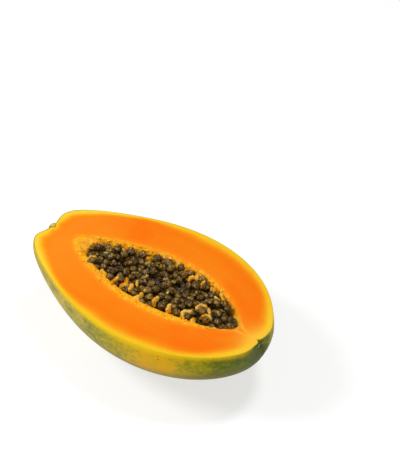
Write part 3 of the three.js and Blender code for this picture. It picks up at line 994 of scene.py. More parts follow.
def settled():
    """The margin seeds and the loose seeds at rest."""
    still, pulp = fixed_places()
    loose = [
        seed for seed in loose_seeds
        if all(math.dist(seed[:3], one[:3]) > START_CLEAR * (seed[3] + one[3]) for one in still + pulp)
    ]
    everything = np.array(still + loose + pulp)
    moves = np.zeros(len(everything))
    moves[len(still):len(still) + len(loose)] = 1
    places, radii, sinks = everything[:, :3], everything[:, 3], everything[:, 7]
    apart = (radii[:, None] + radii[None, :]) * SEEDS_APART
    np.fill_diagonal(apart, 0)
    for _ in range(SETTLE_ROUNDS):
        between = places[:, None] - places[None, :]
        away = np.linalg.norm(between, axis=-1) + TINY
        push = np.maximum(apart - away, 0) / away * SETTLE_SHARE
        places += (between * push[..., None]).sum(axis=1) * moves[:, None]
        bed = bed_height(places[:, 0], places[:, 1]) - sinks
        settled_z = np.clip(places[:, 2], bed - SEED_SCATTER[2], bed + SEED_SCATTER[1])
        places[:, 2] = np.where(moves > 0, settled_z, places[:, 2])
        turn = np.arctan2(places[:, 2], places[:, 1])
        room = np.maximum(room_at(places[:, 0], turn, radii * SEED_SQUASH[0] + CLEAR), 0)
        out = np.hypot(places[:, 1], places[:, 2])
        places[:, 1:] *= np.where(moves > 0, np.minimum(room / out, 1), 1)[:, None]
    return everything[:len(still) + len(loose)]


seed_places = settled()
print("seeds:", len(seed_places), "of which", len(MARGIN_SEEDS), "along the margin")

# %% [markdown]
# ## The seeds
#
# Each seed is a small ball a little longer than it is wide, in a thin wrinkled coat. Hundreds of
# them need few faces each, so each one is a ball of eighty faces, pushed in and out a little by
# noise, and the fine wrinkles are left to the material. A number kept on each seed lets the
# material make some of them blacker and some browner.

# %% Seed heap
PLAIN_BALL = 2  # subdivisions of an icosphere, which give it eighty faces
FINE_BALL = 3  # 320 faces
SEED_DENT = 0.22  # share of the radius that the coat is pushed in and out
LUMP_NOISE = 0.9  # how closely the dents of seeds and pulp follow each other
HEAP_TOP = 2  # of the heap below the cut face
SHADED_DEPTH = 5  # below the heap's top, where painted shade darkens even the upper side of a seed


def add_lump(bm, lump, detail, dent, tint_layer, lit_layer):
    """Adds one small dented ball, with a tint, and how well each point is lit from above, as painted
    light.
    """
    middle, stretch, turns, tint = lump
    turned = Euler(turns).to_matrix().to_4x4()
    shape = Matrix.Translation(middle) @ turned @ Matrix.Diagonal((*stretch, 1))
    made = bmesh.ops.create_icosphere(bm, subdivisions=detail, radius=1, matrix=shape)
    for vert in made["verts"]:
        out = vert.co - middle
        if lit_layer is not None:
            depth = max(0, CUT_HEIGHT - HEAP_TOP - vert.co.z)
            vert[lit_layer] = out.normalized().z - depth / SHADED_DEPTH
        vert.co += out * dent * noise.noise(vert.co * LUMP_NOISE)
        vert[tint_layer] = tint


def to_frame(bm):
    """Moves a bmesh from millimetres on the core line to metres in the frame."""
    bmesh.ops.translate(bm, verts=bm.verts, vec=-Vector(ORIGIN))
    bmesh.ops.scale(bm, verts=bm.verts, vec=(MM, MM, MM))


def lump_heap(lumps, detail, dent, lit=False):
    """One bmesh of many dented balls, each given as its middle, half sizes, turns and tint."""
    bm = bmesh.new()
    tint_layer = bm.verts.layers.float.new("tint")
    lit_layer = bm.verts.layers.float.new("lit") if lit else None
    for lump in lumps:
        add_lump(bm, lump, detail, dent, tint_layer, lit_layer)
    to_frame(bm)
    return bm


def seed_lumps():
    chance = number_stream(STREAMS["seed tints"])
    for x, y, z, radius, *turns, _ in seed_places:
        yield Vector((x, y, z)), [radius * share for share in SEED_SQUASH], turns, next(chance)


seed_heap = lump_heap(seed_lumps(), PLAIN_BALL, SEED_DENT, lit=True)
seeds = piece_from(seed_heap, "seeds", sharp=math.pi)

# %% [markdown]
# ## Below the seeds
#
# Under the top layers the heap goes on as one dark lump of seeds and jelly. It could be filled with
# more seeds, but no one will see them, so one closed body stands for them. It is the hollow's own
# shape, a little smaller, with its top kept below the bed.

# %% Seed core
CORE_INSET = 0.8
CORE_DROP = 3.6  # of its top below the bed
CORE_COLUMNS = 48
CORE_RINGS = 60
CORE_LUMPS = (0.5, 3, 1.9)  # height, size and seed of its noise


def make_core():
    t, turn = np.meshgrid(
        np.linspace(0, np.pi, CORE_RINGS + 1),
        np.linspace(0, 2 * np.pi, CORE_COLUMNS, endpoint=False),
        indexing="ij",
    )
    start = SEED_START - SEED_RADIUS[1]
    x = np.maximum(HOLLOW_MIDDLE - (HOLLOW_REACH - CORE_INSET) * np.cos(t), start)
    radius = np.maximum(hollow_radius(x, turn) - CORE_INSET, 0) * (np.sin(t) > TINY)
    y = radius * np.cos(turn)
    z = np.minimum(radius * np.sin(turn), bed_height(x, y) - CORE_DROP)
    points = np.stack([x, y, z], axis=-1)
    height, size, seed = CORE_LUMPS
    points[..., 2] += height * lump_noise(points, size, seed) * np.sin(t)
    return shaped_ball("seed_core", points, {})


seed_core = make_core()

# %% [markdown]
# ## Pulp on the margin
#
# Each line of pulp is a row of overlapping dented balls. Left like that they would look like beads,
# so a Remesh modifier fuses them into one soft skin, which keeps the dents and loses the joints. A
# light smoothing then takes away the steps that the Remesh leaves.

# %% Pulp lumps
PULP_TOP = 1.0  # the pulp stands about this far above the cut face
PULP_RISE = (0.1, 1.2)  # least share of that height, and how much chance adds
PULP_SWELL = (0.9, 0.45)  # the same for half of a line's width
PULP_SWAY = 0.3  # share of the width by which a lump leaves its line
PULP_DEPTH = 2.1  # from the middle of a lump to its top or bottom
PULP_DENT = 0.5
PULP_VOXEL = 0.3
PULP_SMOOTHING = 0.5
ALL_AXES = {"use_axis_x": True, "use_axis_y": True, "use_axis_z": True}


def bmesh_from(holder):
    """The finished mesh of a helper object, as a bmesh. The helper itself is deleted."""
    finished = holder.evaluated_get(bpy.context.evaluated_depsgraph_get())
    mesh = bpy.data.meshes.new_from_object(finished)
    bpy.data.objects.remove(holder)
    bm = bmesh.new()
    bm.from_mesh(mesh)
    bpy.data.meshes.remove(mesh)
    return bm


def fused(bm, name, voxel):
    """Turns overlapping closed balls into one skin."""
    rough = bpy.data.meshes.new(name + "_rough")
    bm.to_mesh(rough)
    bm.free()
    holder = bpy.data.objects.new(name + "_rough", rough)
    bpy.context.scene.collection.objects.link(holder)
    skin = holder.modifiers.new("skin", "REMESH")
    skin.mode = "VOXEL"
    skin.voxel_size = voxel * MM
    bm = bmesh_from(holder)
    bpy.data.meshes.remove(rough)
    bmesh.ops.smooth_vert(bm, verts=bm.verts, factor=PULP_SMOOTHING, **ALL_AXES)
    return piece_from(bm, name, sharp=math.pi)


def pulp_row_lumps():
    chance = number_stream(STREAMS["pulp"])
    for width, line in pulp_lines:
        for x, y in line:
            half = width / 2 * (PULP_SWELL[0] + PULP_SWELL[1] * next(chance))
            top = CUT_HEIGHT + PULP_TOP * (PULP_RISE[0] + PULP_RISE[1] * next(chance))
            sway = [(next(chance) - 0.5) * PULP_SWAY * width for _ in range(2)]
            middle = Vector((x + sway[0], y + sway[1], top - PULP_DEPTH))
            yield middle, (half, half, PULP_DEPTH), (0, 0, 0), 0


pulp_rows = lump_heap(pulp_row_lumps(), FINE_BALL, PULP_DENT)
pulp_lumps = fused(pulp_rows, "pulp_lumps", PULP_VOXEL)

# %% [markdown]
# ## Bits and crumbs
#
# Small yellow bits of pulp lie on the seeds, and fine crumbs of the lining lie all along the
# margin. They are too small and too loose to be fused, so they stay single dented balls, flattened
# and turned at random. Each one is set on what lies below it: a bit on the tops of the seeds, and
# a crumb on the ground of the margin.

# %% Bits and crumbs
BITS = (  # x, y and size
    (-53.0, 1.4, 3.4), (-54.4, 7.5, 2.4), (-43.1, 10.7, 3.0), (-46.0, 14.1, 2.4), (-20.2, 11.7, 3.6),
    (-20.5, 14.4, 1.8), (-11.9, 16.9, 3.0), (-25.4, -0.7, 2.2), (-11.7, 0.5, 2.6), (-3.4, -2.5, 1.8),
    (13.0, -9.6, 2.0), (11.3, -3.0, 2.0), (5.4, -5.0, 2.0), (-3.3, -11.8, 2.2),
)
BIT_SQUASH = (0.6, 0.42, 0.36)  # half sizes, as shares of the size
BIT_SINK = 0.15
BIT_DENT = 0.7
MARGIN_CRUMBS = 330
CRUMB_SPAN = (-84, 60)
SMOOTH_END = -73  # no crumbs lie in the narrow end before this place
CRUMB_RADIUS = (0.5, 1.5)
CRUMB_SQUASH = (1.3, 0.8, 0.5)
CRUMB_SINK = 0.1
CRUMB_DENT = 0.9
CRUMB_TILT = 0.3  # how much they lean, while they lie turned any way round
CRUMBS_INWARD = (5.2, 2.6)  # from the edge, at most, on the near and far side
CRUMB_CROWDING = 0.6  # below 1, more of them lie well inside the edge
CRUMB_MIDDLE = 0.5  # they keep this far from the middle line
BIG_CRUMBS = (1.3, -50)  # on the far side beyond this x they are this much bigger


def margin_height(x, y):
    return CUT_HEIGHT - float(hollow_fall(np.array(x), np.array(y)))


def ground_at(x, y):
    """Height of the seeds' tops or of the margin, whichever is higher, at one place."""
    away = np.hypot(seed_places[:, 0] - x, seed_places[:, 1] - y)
    under = away < seed_places[:, 3]
    if not under.any():
        return margin_height(x, y)
    tops = seed_places[under, 2] + np.sqrt(seed_places[under, 3] ** 2 - away[under] ** 2)
    return max(margin_height(x, y), float(tops.max()))


def bit_lumps():
    chance = number_stream(STREAMS["bits"])
    for x, y, size in BITS:
        middle = Vector((x, y, ground_at(x, y) - BIT_SINK * size))
        turns = [next(chance) * math.pi for _ in range(3)]
        yield middle, [size * share for share in BIT_SQUASH], turns, next(chance)


def crumb_lumps():
    chance = number_stream(STREAMS["crumbs"])
    for _ in range(MARGIN_CRUMBS):
        side = 1 if next(chance) < 0.5 else -1
        x = CRUMB_SPAN[0] + (CRUMB_SPAN[1] - CRUMB_SPAN[0]) * next(chance)
        inward = next(chance) ** CRUMB_CROWDING * CRUMBS_INWARD[side > 0] * float(kept(x))
        edge = float(hollow_edge(np.array(x), side))
        radius = CRUMB_RADIUS[0] + (CRUMB_RADIUS[1] - CRUMB_RADIUS[0]) * next(chance) ** 2
        radius *= BIG_CRUMBS[0] if side > 0 and x > BIG_CRUMBS[1] else 1
        turns = [next(chance) * math.pi for _ in range(3)]
        tint = next(chance)
        if edge < inward + CRUMB_MIDDLE or x < SMOOTH_END:
            continue
        y = side * (edge - inward)
        middle = Vector((x, y, margin_height(x, y) - CRUMB_SINK * radius))
        turns = (CRUMB_TILT * turns[0], CRUMB_TILT * turns[1], turns[2])
        yield middle, [radius * share for share in CRUMB_SQUASH], turns, tint


bit_heap = lump_heap(bit_lumps(), FINE_BALL, BIT_DENT)
pulp_bits = piece_from(bit_heap, "pulp_bits", sharp=math.pi)
crumb_heap = lump_heap(crumb_lumps(), PLAIN_BALL, CRUMB_DENT)
margin_crumbs = piece_from(crumb_heap, "margin_crumbs", sharp=math.pi)

# %% [markdown]
# ## Threads in the narrow end
#
# Towards the stalk the hollow has no seeds, only a pale web of fine threads. Hair curves would not
# survive an export, so each thread is a thin curve with a round section, made into a mesh. They
# cross each other low over the hollow's floor, from wall to wall.

# %% Threads
THREADS = 14
THREAD_RADIUS = 0.11
THREAD_AREA = (-83, -69)
THREAD_STEPS = 6
THREAD_SPREAD = (0.02, 0.4)  # share of the hollow's width: least from a wall, and what chance adds
THREAD_SWAY = (0.8, 9, 0.5, 13)  # how far and how often a thread winds, along and across
THREAD_PHASES = 6  # nearly a full turn, so that no two threads wind alike
THREAD_LIFT = 0.05


def draw_thread(spline, chance):
    """Lays one winding thread over the hollow's floor."""
    start, end = THREAD_AREA
    least, more = THREAD_SPREAD
    ends = [start + (end - start) * next(chance) for _ in range(2)]
    shares = [least + more * next(chance), 1 - least - more * next(chance)]
    phase = next(chance) * THREAD_PHASES
    spline.points.add(THREAD_STEPS)
    for i, point in enumerate(spline.points):
        along = i / THREAD_STEPS
        x = ends[0] + (ends[1] - ends[0]) * along
        x += THREAD_SWAY[0] * math.sin(along * THREAD_SWAY[1] + phase)
        left, right = (side * float(hollow_edge(np.array(x), side)) for side in (-1, 1))
        y = left + (right - left) * (shares[0] + (shares[1] - shares[0]) * along)
        y += THREAD_SWAY[2] * math.sin(along * THREAD_SWAY[3] + 2 * phase)
        point.co = (*in_frame((x, y, margin_height(x, y) + THREAD_LIFT)), 1)
    spline.use_endpoint_u = True
    spline.order_u = 3


def make_threads():
    chance = number_stream(STREAMS["threads"])
    curve = bpy.data.curves.new("threads", "CURVE")
    curve.dimensions = "3D"
    curve.bevel_depth = THREAD_RADIUS * MM
    curve.bevel_resolution = 1
    curve.resolution_u = 3
    curve.use_fill_caps = True
    for _ in range(THREADS):
        draw_thread(curve.splines.new("NURBS"), chance)
    drawn = bpy.data.objects.new("threads_curve", curve)
    bpy.context.scene.collection.objects.link(drawn)
    bm = bmesh_from(drawn)
    bmesh.ops.remove_doubles(bm, verts=bm.verts, dist=SAME_PLACE)
    return piece_from(bm, "threads")


threads = make_threads()

# %% [markdown]
# ## The stalk stub
#
# The dry end of the stalk sits in the dimple and the knife has gone through it too. A plain
# cylinder would look like a peg. So it is turned from one outline by a spin, as on a lathe, then
# roughened a little and sliced off level with the cut face.

# %% Stub
STUB_RADIUS = 4.0
STUB_NECK = 3.4
STUB_BURIED = 0.8
STUB_STANDING = 4.4
STUB_STEPS = 48
STUB_BARREL = (  # shares of the radius and of the standing height, from the bottom up
    (0.96, 0.25), (1, 0.45), (0.99, 0.7), (0.9, 0.9), (0.72, 1), (0.4, 0.9), (0, 0.86),
)
STUB_DENT = 0.12
STUB_SLACK = 0.05  # its cut lies this far below the cut face
STUB_SHARP = math.radians(40)


def stub_profile():
    """The stub's outline as (radius, height above the bottom of the dimple)."""
    buried = [(0, -STUB_BURIED), (STUB_NECK, -STUB_BURIED), (STUB_NECK, 0)]
    return buried + [(STUB_RADIUS * wide, STUB_STANDING * high) for wide, high in STUB_BARREL]


def make_stub():
    tip = float(fruit_point(np.array(0.0), np.array(0.0))[0])
    bm = bmesh.new()
    verts = [bm.verts.new((tip - out, radius, 0)) for radius, out in stub_profile()]
    edges = [bm.edges.new(pair) for pair in zip(verts, verts[1:])]
    bmesh.ops.spin(
        bm, geom=verts + edges, cent=(0, 0, 0), axis=(1, 0, 0), angle=2 * math.pi,
        steps=STUB_STEPS, use_merge=True,
    )
    bmesh.ops.remove_doubles(bm, verts=bm.verts, dist=SAME_PLACE / MM)
    bmesh.ops.translate(bm, verts=bm.verts, vec=(0, *STALK_PLACE))
    for vert in bm.verts:
        out = vert.co - Vector((vert.co.x, *STALK_PLACE))
        vert.co += out * STUB_DENT * noise.noise(vert.co * LUMP_NOISE)
    cut = bmesh.ops.bisect_plane(
        bm, geom=bm.verts[:] + bm.edges[:] + bm.faces[:], clear_outer=True,
        plane_co=(0, 0, CUT_HEIGHT - STUB_SLACK), plane_no=(0, 0, 1),
    )
    rim = [part for part in cut["geom_cut"] if isinstance(part, bmesh.types.BMEdge)]
    bmesh.ops.holes_fill(bm, edges=rim, sides=0)
    bmesh.ops.recalc_face_normals(bm, faces=bm.faces)
    to_frame(bm)
    return piece_from(bm, "stalk_stub", sharp=STUB_SHARP)


stub = make_stub()

# %% [markdown]
# ## Shader helpers
#
# Every finish below is made of nodes: noise for mottling, ramps for colour, and the marks that were
# kept on the meshes. Nodes could be wired by hand in the Shader Editor. In a script each node takes
# several lines, so a few helpers with plain names keep the recipes short enough to read. Colours
# are written as screen colours, and the first helper turns them into the linear ones that Blender
# works in.

# %% Shader helpers
def srgb(red, green, blue):
    """A screen colour, 0 to 255, as the linear colour that Blender works in."""
    def linear(level):
        level /= 255
        return level / 12.92 if level <= 0.04045 else ((level + 0.055) / 1.055) ** 2.4

    return (linear(red), linear(green), linear(blue), 1)


def add(tree, kind, feeds, **settings):
    """Adds a shader node and feeds its inputs from numbers, colours or other nodes."""
    made = tree.nodes.new("ShaderNode" + kind)
    for name, value in settings.items():
        setattr(made, name, value)
    for socket, value in feeds.items():
        if isinstance(value, bpy.types.NodeSocket):
            tree.links.new(value, made.inputs[socket])
        else:
            made.inputs[socket].default_value = value
    return made


def places(tree):
    """Object coordinates: a pattern on them keeps its size and stays on the piece."""
    return add(tree, "TexCoord", {}).outputs["Object"]


def mark(tree, name):
    """The number that was kept on the mesh under this name."""
    return add(tree, "Attribute", {}, attribute_name=name).outputs["Fac"]


def clouds(tree, place, size, detail=3, stir=0.0):
    """Noise with patches of about `size` millimetres."""
    feeds = {"Vector": place, "Scale": 1000 / size, "Detail": detail, "Distortion": stir}
    return add(tree, "TexNoise", feeds).outputs["Fac"]


def stretched(tree, place, stretch):
    """The same places, squeezed along each axis so that a pattern on them is drawn out."""
    return add(tree, "Mapping", {"Vector": place, "Scale": stretch}).outputs["Vector"]


def cells(tree, place, size):
    """Distance to the nearest of many scattered places."""
    return add(tree, "TexVoronoi", {"Vector": place, "Scale": 1000 / size}).outputs["Distance"]


def sums(tree, operation, first, second=0.0):
    return add(tree, "Math", {0: first, 1: second}, operation=operation).outputs[0]


def fade(tree, value, start, end, low=0.0, high=1.0):
    """Goes smoothly from low to high as the value goes from start to end."""
    feeds = {"Value": value, "From Min": start, "From Max": end, "To Min": low, "To Max": high}
    return add(tree, "MapRange", feeds, interpolation_type="SMOOTHSTEP").outputs["Result"]


def blend(tree, share, first, second):
    """The first colour at share 0, the second at share 1."""
    return add(tree, "Mix", {0: share, 6: first, 7: second}, data_type="RGBA").outputs[2]


def ramp(tree, share, stops):
    """Runs through several colours as the share goes from 0 to 1."""
    made = add(tree, "ValToRGB", {"Fac": share})
    elements = made.color_ramp.elements
    elements.remove(elements[1])
    elements[0].position, elements[0].color = stops[0]
    for place, colour in stops[1:]:
        elements.new(place).color = colour
    return made.outputs["Color"]


def bump(tree, height, depth, strength):
    """A bump of `depth` millimetres."""
    feeds = {"Height": height, "Distance": depth * MM, "Strength": strength}
    return add(tree, "Bump", feeds).outputs["Normal"]


def new_material(name, **feeds):
    """A material with one Principled surface, whose uniform values are set on its own sockets."""
    material = bpy.data.materials.new(name)
    material.use_nodes = True
    tree = material.node_tree
    surface = tree.nodes["Principled BSDF"]
    for socket, value in feeds.items():
        surface.inputs[socket.replace("_", " ")].default_value = value
    return material, tree, surface


def paint(tree, surface, **sockets):
    """Links what varies over the surface to the material's sockets."""
    for socket, value in sockets.items():
        tree.links.new(value, surface.inputs[socket.replace("_", " ")])


print("screen orange (243, 123, 10) in linear light:", [round(n, 3) for n in srgb(243, 123, 10)[:3]])

# %% [markdown]
# ## Wet grain
#
# Flesh, pulp and seeds are all wet, and all are finely uneven in the same way. The same nodes could
# be copied into each material. Instead they are built once, as a node group that each material
# places with its own sizes. It gives the noise itself, for colour and for bump, and a roughness
# that goes from wet to dry with it.

# %% Wet grain group
WET_GRAIN_USUAL = (("Grain mm", 1.3), ("Wet", 0.3), ("Dry", 0.5))


def make_wet_grain():
    group = bpy.data.node_groups.new("wet_grain", "ShaderNodeTree")
    for name, usual in WET_GRAIN_USUAL:
        socket = group.interface.new_socket(name=name, in_out="INPUT", socket_type="NodeSocketFloat")
        socket.default_value = usual
    for name in ("Grain", "Roughness"):
        group.interface.new_socket(name=name, in_out="OUTPUT", socket_type="NodeSocketFloat")
    given = group.nodes.new("NodeGroupInput").outputs
    scale = sums(group, "DIVIDE", 1000.0, given["Grain mm"])
    feeds = {"Vector": places(group), "Scale": scale, "Detail": 4.0}
    grain = add(group, "TexNoise", feeds).outputs["Fac"]
    result = group.nodes.new("NodeGroupOutput").inputs
    group.links.new(grain, result["Grain"])
    group.links.new(fade(group, grain, 0.3, 0.7, given["Wet"], given["Dry"]), result["Roughness"])
    return group


wet_grain = make_wet_grain()


def grained(tree, size, wet, dry):
    """Places the wet grain in a material, and gives back its grain and its roughness."""
    placed = tree.nodes.new("ShaderNodeGroup")
    placed.node_tree = wet_grain
    for name, value in (("Grain mm", size), ("Wet", wet), ("Dry", dry)):
        placed.inputs[name].default_value = value
    return placed.outputs["Grain"], placed.outputs["Roughness"]


outputs = [item.name for item in wet_grain.interface.items_tree if item.in_out == "OUTPUT"]
print("wet_grain puts out", outputs)

# %% [markdown]
# ## The golden lining
#
# The lining is the soft tissue that the seeds grew on. It is seen on the flesh, along the hollow,
# and on the crumbs and threads that have come off it. A second group gives it one colour in all
# those places, mottled between orange-gold and pale gold.

# %% Golden lining group
LINING_COLOURS = (
    (0.3, srgb(244, 150, 16)),
    (0.5, srgb(251, 174, 24)),
    (0.7, srgb(253, 192, 60)),
)


def make_lining():
    group = bpy.data.node_groups.new("golden_lining", "ShaderNodeTree")
    group.interface.new_socket(name="Color", in_out="OUTPUT", socket_type="NodeSocketColor")
    mottle = clouds(group, places(group), 2.4, detail=4, stir=0.6)
    golden = ramp(group, mottle, LINING_COLOURS)
    group.links.new(golden, group.nodes.new("NodeGroupOutput").inputs["Color"])
    return group


lining_group = make_lining()


def lining_colour(tree):
    """Places the golden lining in a material, and gives back its colour."""
    placed = tree.nodes.new("ShaderNodeGroup")
    placed.node_tree = lining_group
    return placed.outputs["Color"]


print("golden_lining has", len(lining_group.nodes), "nodes")

# %% [markdown]
# ## Finish of the rind
#
# The skin of a ripening papaya turns from deep green to gold in broad uneven zones, with fine
# streaks along the fruit and tiny dark pores. A thin grey film over it is partly wax and partly
# painted sheen, and painted shade darkens the underside and the creases by the scar. Just under
# the cut the yellow flesh shows through the skin. Noise alone would spread the colours evenly, and
# marks alone would look airbrushed. So the zones come from the marks on the mesh, and the mottling
# inside them is noise.

# %% Rind material
SKIN_COLOURS = (  # from unripe to ripe
    (0.0, srgb(62, 80, 22)),
    (0.15, srgb(80, 96, 10)),
    (0.3, srgb(106, 112, 8)),
    (0.45, srgb(140, 132, 6)),
    (0.6, srgb(168, 148, 8)),
    (0.75, srgb(198, 160, 8)),
    (0.9, srgb(216, 166, 2)),
    (1.0, srgb(220, 162, 2)),
)
EDGE_COLOURS = (  # from the skin to the flesh
    (0.0, srgb(190, 164, 16)),
    (0.4, srgb(220, 184, 22)),
    (1.0, srgb(234, 192, 30)),
)
# grey of the film that is partly wax and partly painted sheen
WAX_SHEEN_GREY = srgb(203, 188, 120)
PORE_GREEN = srgb(84, 92, 20)
CORK_TAN = srgb(160, 144, 98)
RIM_YELLOW = srgb(238, 190, 4)
DARK_EDGE = srgb(130, 108, 30)
SHADES = (  # mark, strength and colour
    ("underside", 0.75, srgb(100, 86, 6)),
    ("bloom", 0.6, srgb(86, 100, 58)),
    ("crease", 0.8, srgb(58, 60, 4)),
)


def skin_colour(tree, mottle, streaks, speckle):
    """Green to gold by ripeness, unsettled by three sizes of noise, with a grey haze of wax and painted
    sheen.
    """
    ripe = sums(tree, "ADD", mark(tree, "ripeness"), fade(tree, mottle, 0.3, 0.7, -0.11, 0.11))
    ripe = sums(tree, "ADD", ripe, fade(tree, streaks, 0.3, 0.7, -0.06, 0.06))
    ripe = sums(tree, "ADD", ripe, fade(tree, speckle, 0.3, 0.7, -0.1, 0.1))
    skin = ramp(tree, ripe, SKIN_COLOURS)
    hazy = fade(tree, mottle, 0.25, 0.75, 0.26, 0.48)
    hazy = sums(tree, "ADD", hazy, fade(tree, speckle, 0.35, 0.65, -0.1, 0.12))
    return blend(tree, sums(tree, "MULTIPLY", mark(tree, "wax_sheen"), hazy), skin, WAX_SHEEN_GREY)


def edge_colour(tree, into_rind):
    """The cut edge of the skin, dark round the stalk."""
    edge = ramp(tree, into_rind, EDGE_COLOURS)
    return blend(tree, sums(tree, "MULTIPLY", mark(tree, "dark_rim"), 0.7), edge, DARK_EDGE)


def make_rind_material():
    material, tree, surface = new_material("rind_skin", Roughness=0.5, Specular_IOR_Level=0.07)
    place = places(tree)
    mottle = clouds(tree, place, 11, detail=5, stir=0.4)
    streaks = clouds(tree, stretched(tree, place, (0.22, 1, 1)), 1.8, detail=4)
    speckle = clouds(tree, place, 3.4, detail=5, stir=0.3)
    skin = skin_colour(tree, mottle, streaks, speckle)
    pores = fade(tree, cells(tree, stretched(tree, place, (0.55, 1, 1)), 3.2), 0.12, 0.24, 0.6, 0.0)
    rare = fade(tree, clouds(tree, place, 7), 0.48, 0.6)
    skin = blend(tree, sums(tree, "MULTIPLY", pores, rare), skin, PORE_GREEN)
    # painted shade: the underside and the creases by the scar are darkened here
    for name, strength, shade in SHADES:
        skin = blend(tree, sums(tree, "MULTIPLY", mark(tree, name), strength), skin, shade)
    crumbly = sums(tree, "MULTIPLY", mark(tree, "cork"), clouds(tree, place, 1.6, detail=5))
    skin = blend(tree, fade(tree, crumbly, 0.15, 0.5), skin, CORK_TAN)
    rim_light = sums(tree, "MULTIPLY", mark(tree, "rim_light"), fade(tree, streaks, 0.25, 0.75, 0.7, 1.0))
    skin = blend(tree, rim_light, skin, RIM_YELLOW)
    into_rind = mark(tree, "into_rind")
    skin = blend(tree, fade(tree, into_rind, 0.01, 0.06), skin, edge_colour(tree, into_rind))
    paint(tree, surface, Base_Color=skin, Roughness=fade(tree, mottle, 0.3, 0.8, 0.42, 0.6))
    paint(tree, surface, Normal=bump(tree, sums(tree, "ADD", streaks, pores), 0.12, 0.6))
    return material


finish_piece(rind, make_rind_material(), "rind", "fruit_half")

# %% [markdown]
# ## Finish of the flesh
#
# Ripe flesh is wet and lets light in a little way, which softens it. Its colour could be a noise of
# oranges, but it isn't random: it follows the distance from the rind, yellow at first, then
# orange, and the distance from the hollow, with a paler margin, the lining and a painted brown
# shade deep down. So it is read from the marks kept on the mesh, and noise only makes it waver.

# %% Flesh material
BAND_DEPTH = 24.0  # from the rind, in millimetres, to where the colour no longer changes
FLESH_COLOURS = (  # from the rind inwards
    (0.0, srgb(226, 190, 34)),
    (0.05, srgb(238, 192, 30)),
    (0.1, srgb(245, 189, 32)),
    (0.15, srgb(245, 179, 32)),
    (0.21, srgb(244, 164, 27)),
    (0.29, srgb(243, 144, 18)),
    (0.38, srgb(244, 130, 14)),
    (0.5, srgb(243, 123, 10)),
    (1.0, srgb(245, 129, 14)),
)
BRIGHT_YELLOW = srgb(251, 214, 70)  # beside the rind at both ends
PALE_ORANGE = srgb(245, 140, 29)  # further in at both ends
DEEP_ORANGE = srgb(247, 108, 4)
FIBRE_ORANGE = srgb(250, 140, 40)
MARGIN_ORANGE = srgb(246, 142, 26)  # round the hollow
HOLLOW_SHADE_BROWN = srgb(176, 84, 6)
VEIN_YELLOW = srgb(252, 188, 58)


def flesh_from_rind(tree, drift, fibres):
    """The colours that follow the distance from the rind."""
    from_rind = mark(tree, "from_rind")
    wavering = sums(tree, "MULTIPLY", from_rind, fade(tree, drift, 0.25, 0.75, 0.85, 1.15))
    wavering = sums(tree, "MULTIPLY", wavering, fade(tree, fibres, 0.3, 0.7, 0.93, 1.07))
    colour = ramp(tree, sums(tree, "DIVIDE", wavering, BAND_DEPTH), FLESH_COLOURS)
    bright = sums(tree, "MULTIPLY", mark(tree, "pale_end"), fade(tree, from_rind, 1, 5, 0.75, 0.0))
    colour = blend(tree, bright, colour, BRIGHT_YELLOW)
    pale = sums(tree, "MULTIPLY", mark(tree, "pale_end"), fade(tree, from_rind, 5, 14))
    colour = blend(tree, pale, colour, PALE_ORANGE)
    deep = sums(tree, "ADD", mark(tree, "deep"), fade(tree, drift, 0.3, 0.7, -0.3, 0.3))
    deep = sums(tree, "MULTIPLY", fade(tree, deep, 0, 1, 0.0, 0.7), fade(tree, from_rind, 8, 14))
    colour = blend(tree, deep, colour, DEEP_ORANGE)
    streaky = fade(tree, fibres, 0.5, 0.8, 0.0, 0.36)
    streaky = sums(tree, "MULTIPLY", streaky, fade(tree, from_rind, 9, 16))
    return blend(tree, streaky, colour, FIBRE_ORANGE)


def flesh_from_hollow(tree, place, colour):
    """Lays the margin, the frayed lining and a painted brown shade deep in the hollow over the flesh."""
    from_hollow = mark(tree, "from_hollow")
    colour = blend(tree, fade(tree, from_hollow, 0, 5.5, 0.75, 0.0), colour, MARGIN_ORANGE)
    fray = fade(tree, clouds(tree, place, 4, detail=3), 0.3, 0.7, -0.9, 0.9)
    frayed = sums(tree, "ADD", from_hollow, fray)
    colour = blend(tree, fade(tree, frayed, -1.4, 2.0, 1.0, 0.0), colour, lining_colour(tree))
    # painted shade: the flesh goes brown where the hollow falls deep
    return blend(tree, fade(tree, from_hollow, -9.0, -4.6, 0.9, 0.0), colour, HOLLOW_SHADE_BROWN)


def make_flesh_material():
    material, tree, surface = new_material(
        "flesh_cut", Roughness=0.45, Specular_IOR_Level=0.06, Subsurface_Weight=0.2,
        Subsurface_Scale=0.002, Subsurface_Radius=(1.0, 0.35, 0.1),
    )
    place = places(tree)
    drift = clouds(tree, place, 22, detail=3)
    fibres = clouds(tree, stretched(tree, place, (0.12, 1, 1)), 1.6, detail=3)
    grain, wetness = grained(tree, 1.3, 0.32, 0.5)
    colour = flesh_from_hollow(tree, place, flesh_from_rind(tree, drift, fibres))
    colour = blend(tree, sums(tree, "MULTIPLY", mark(tree, "vein"), 0.7), colour, VEIN_YELLOW)
    paint(tree, surface, Base_Color=colour, Roughness=wetness)
    paint(tree, surface, Normal=bump(tree, sums(tree, "ADD", grain, fibres), 0.1, 0.5))
    return material


finish_piece(flesh, make_flesh_material(), "flesh", "fruit_half")

# %% [markdown]
# ## Finish of the seeds
#
# A fresh seed is nearly black, with a net of olive-brown wrinkles, under a clear jelly that gives it
# small broken highlights. One shiny layer would be enough for a dry seed. Here the seed's own gloss
# is warm and soft, and a thin clear coat over it stands for the jelly, with sharper lights. The
# wrinkles are winding lines in a noise, used both as colour and as bump. Paler flecks on the upper
# sides are painted highlights, and painted shade turns the lower sides and the deep seeds dark red.

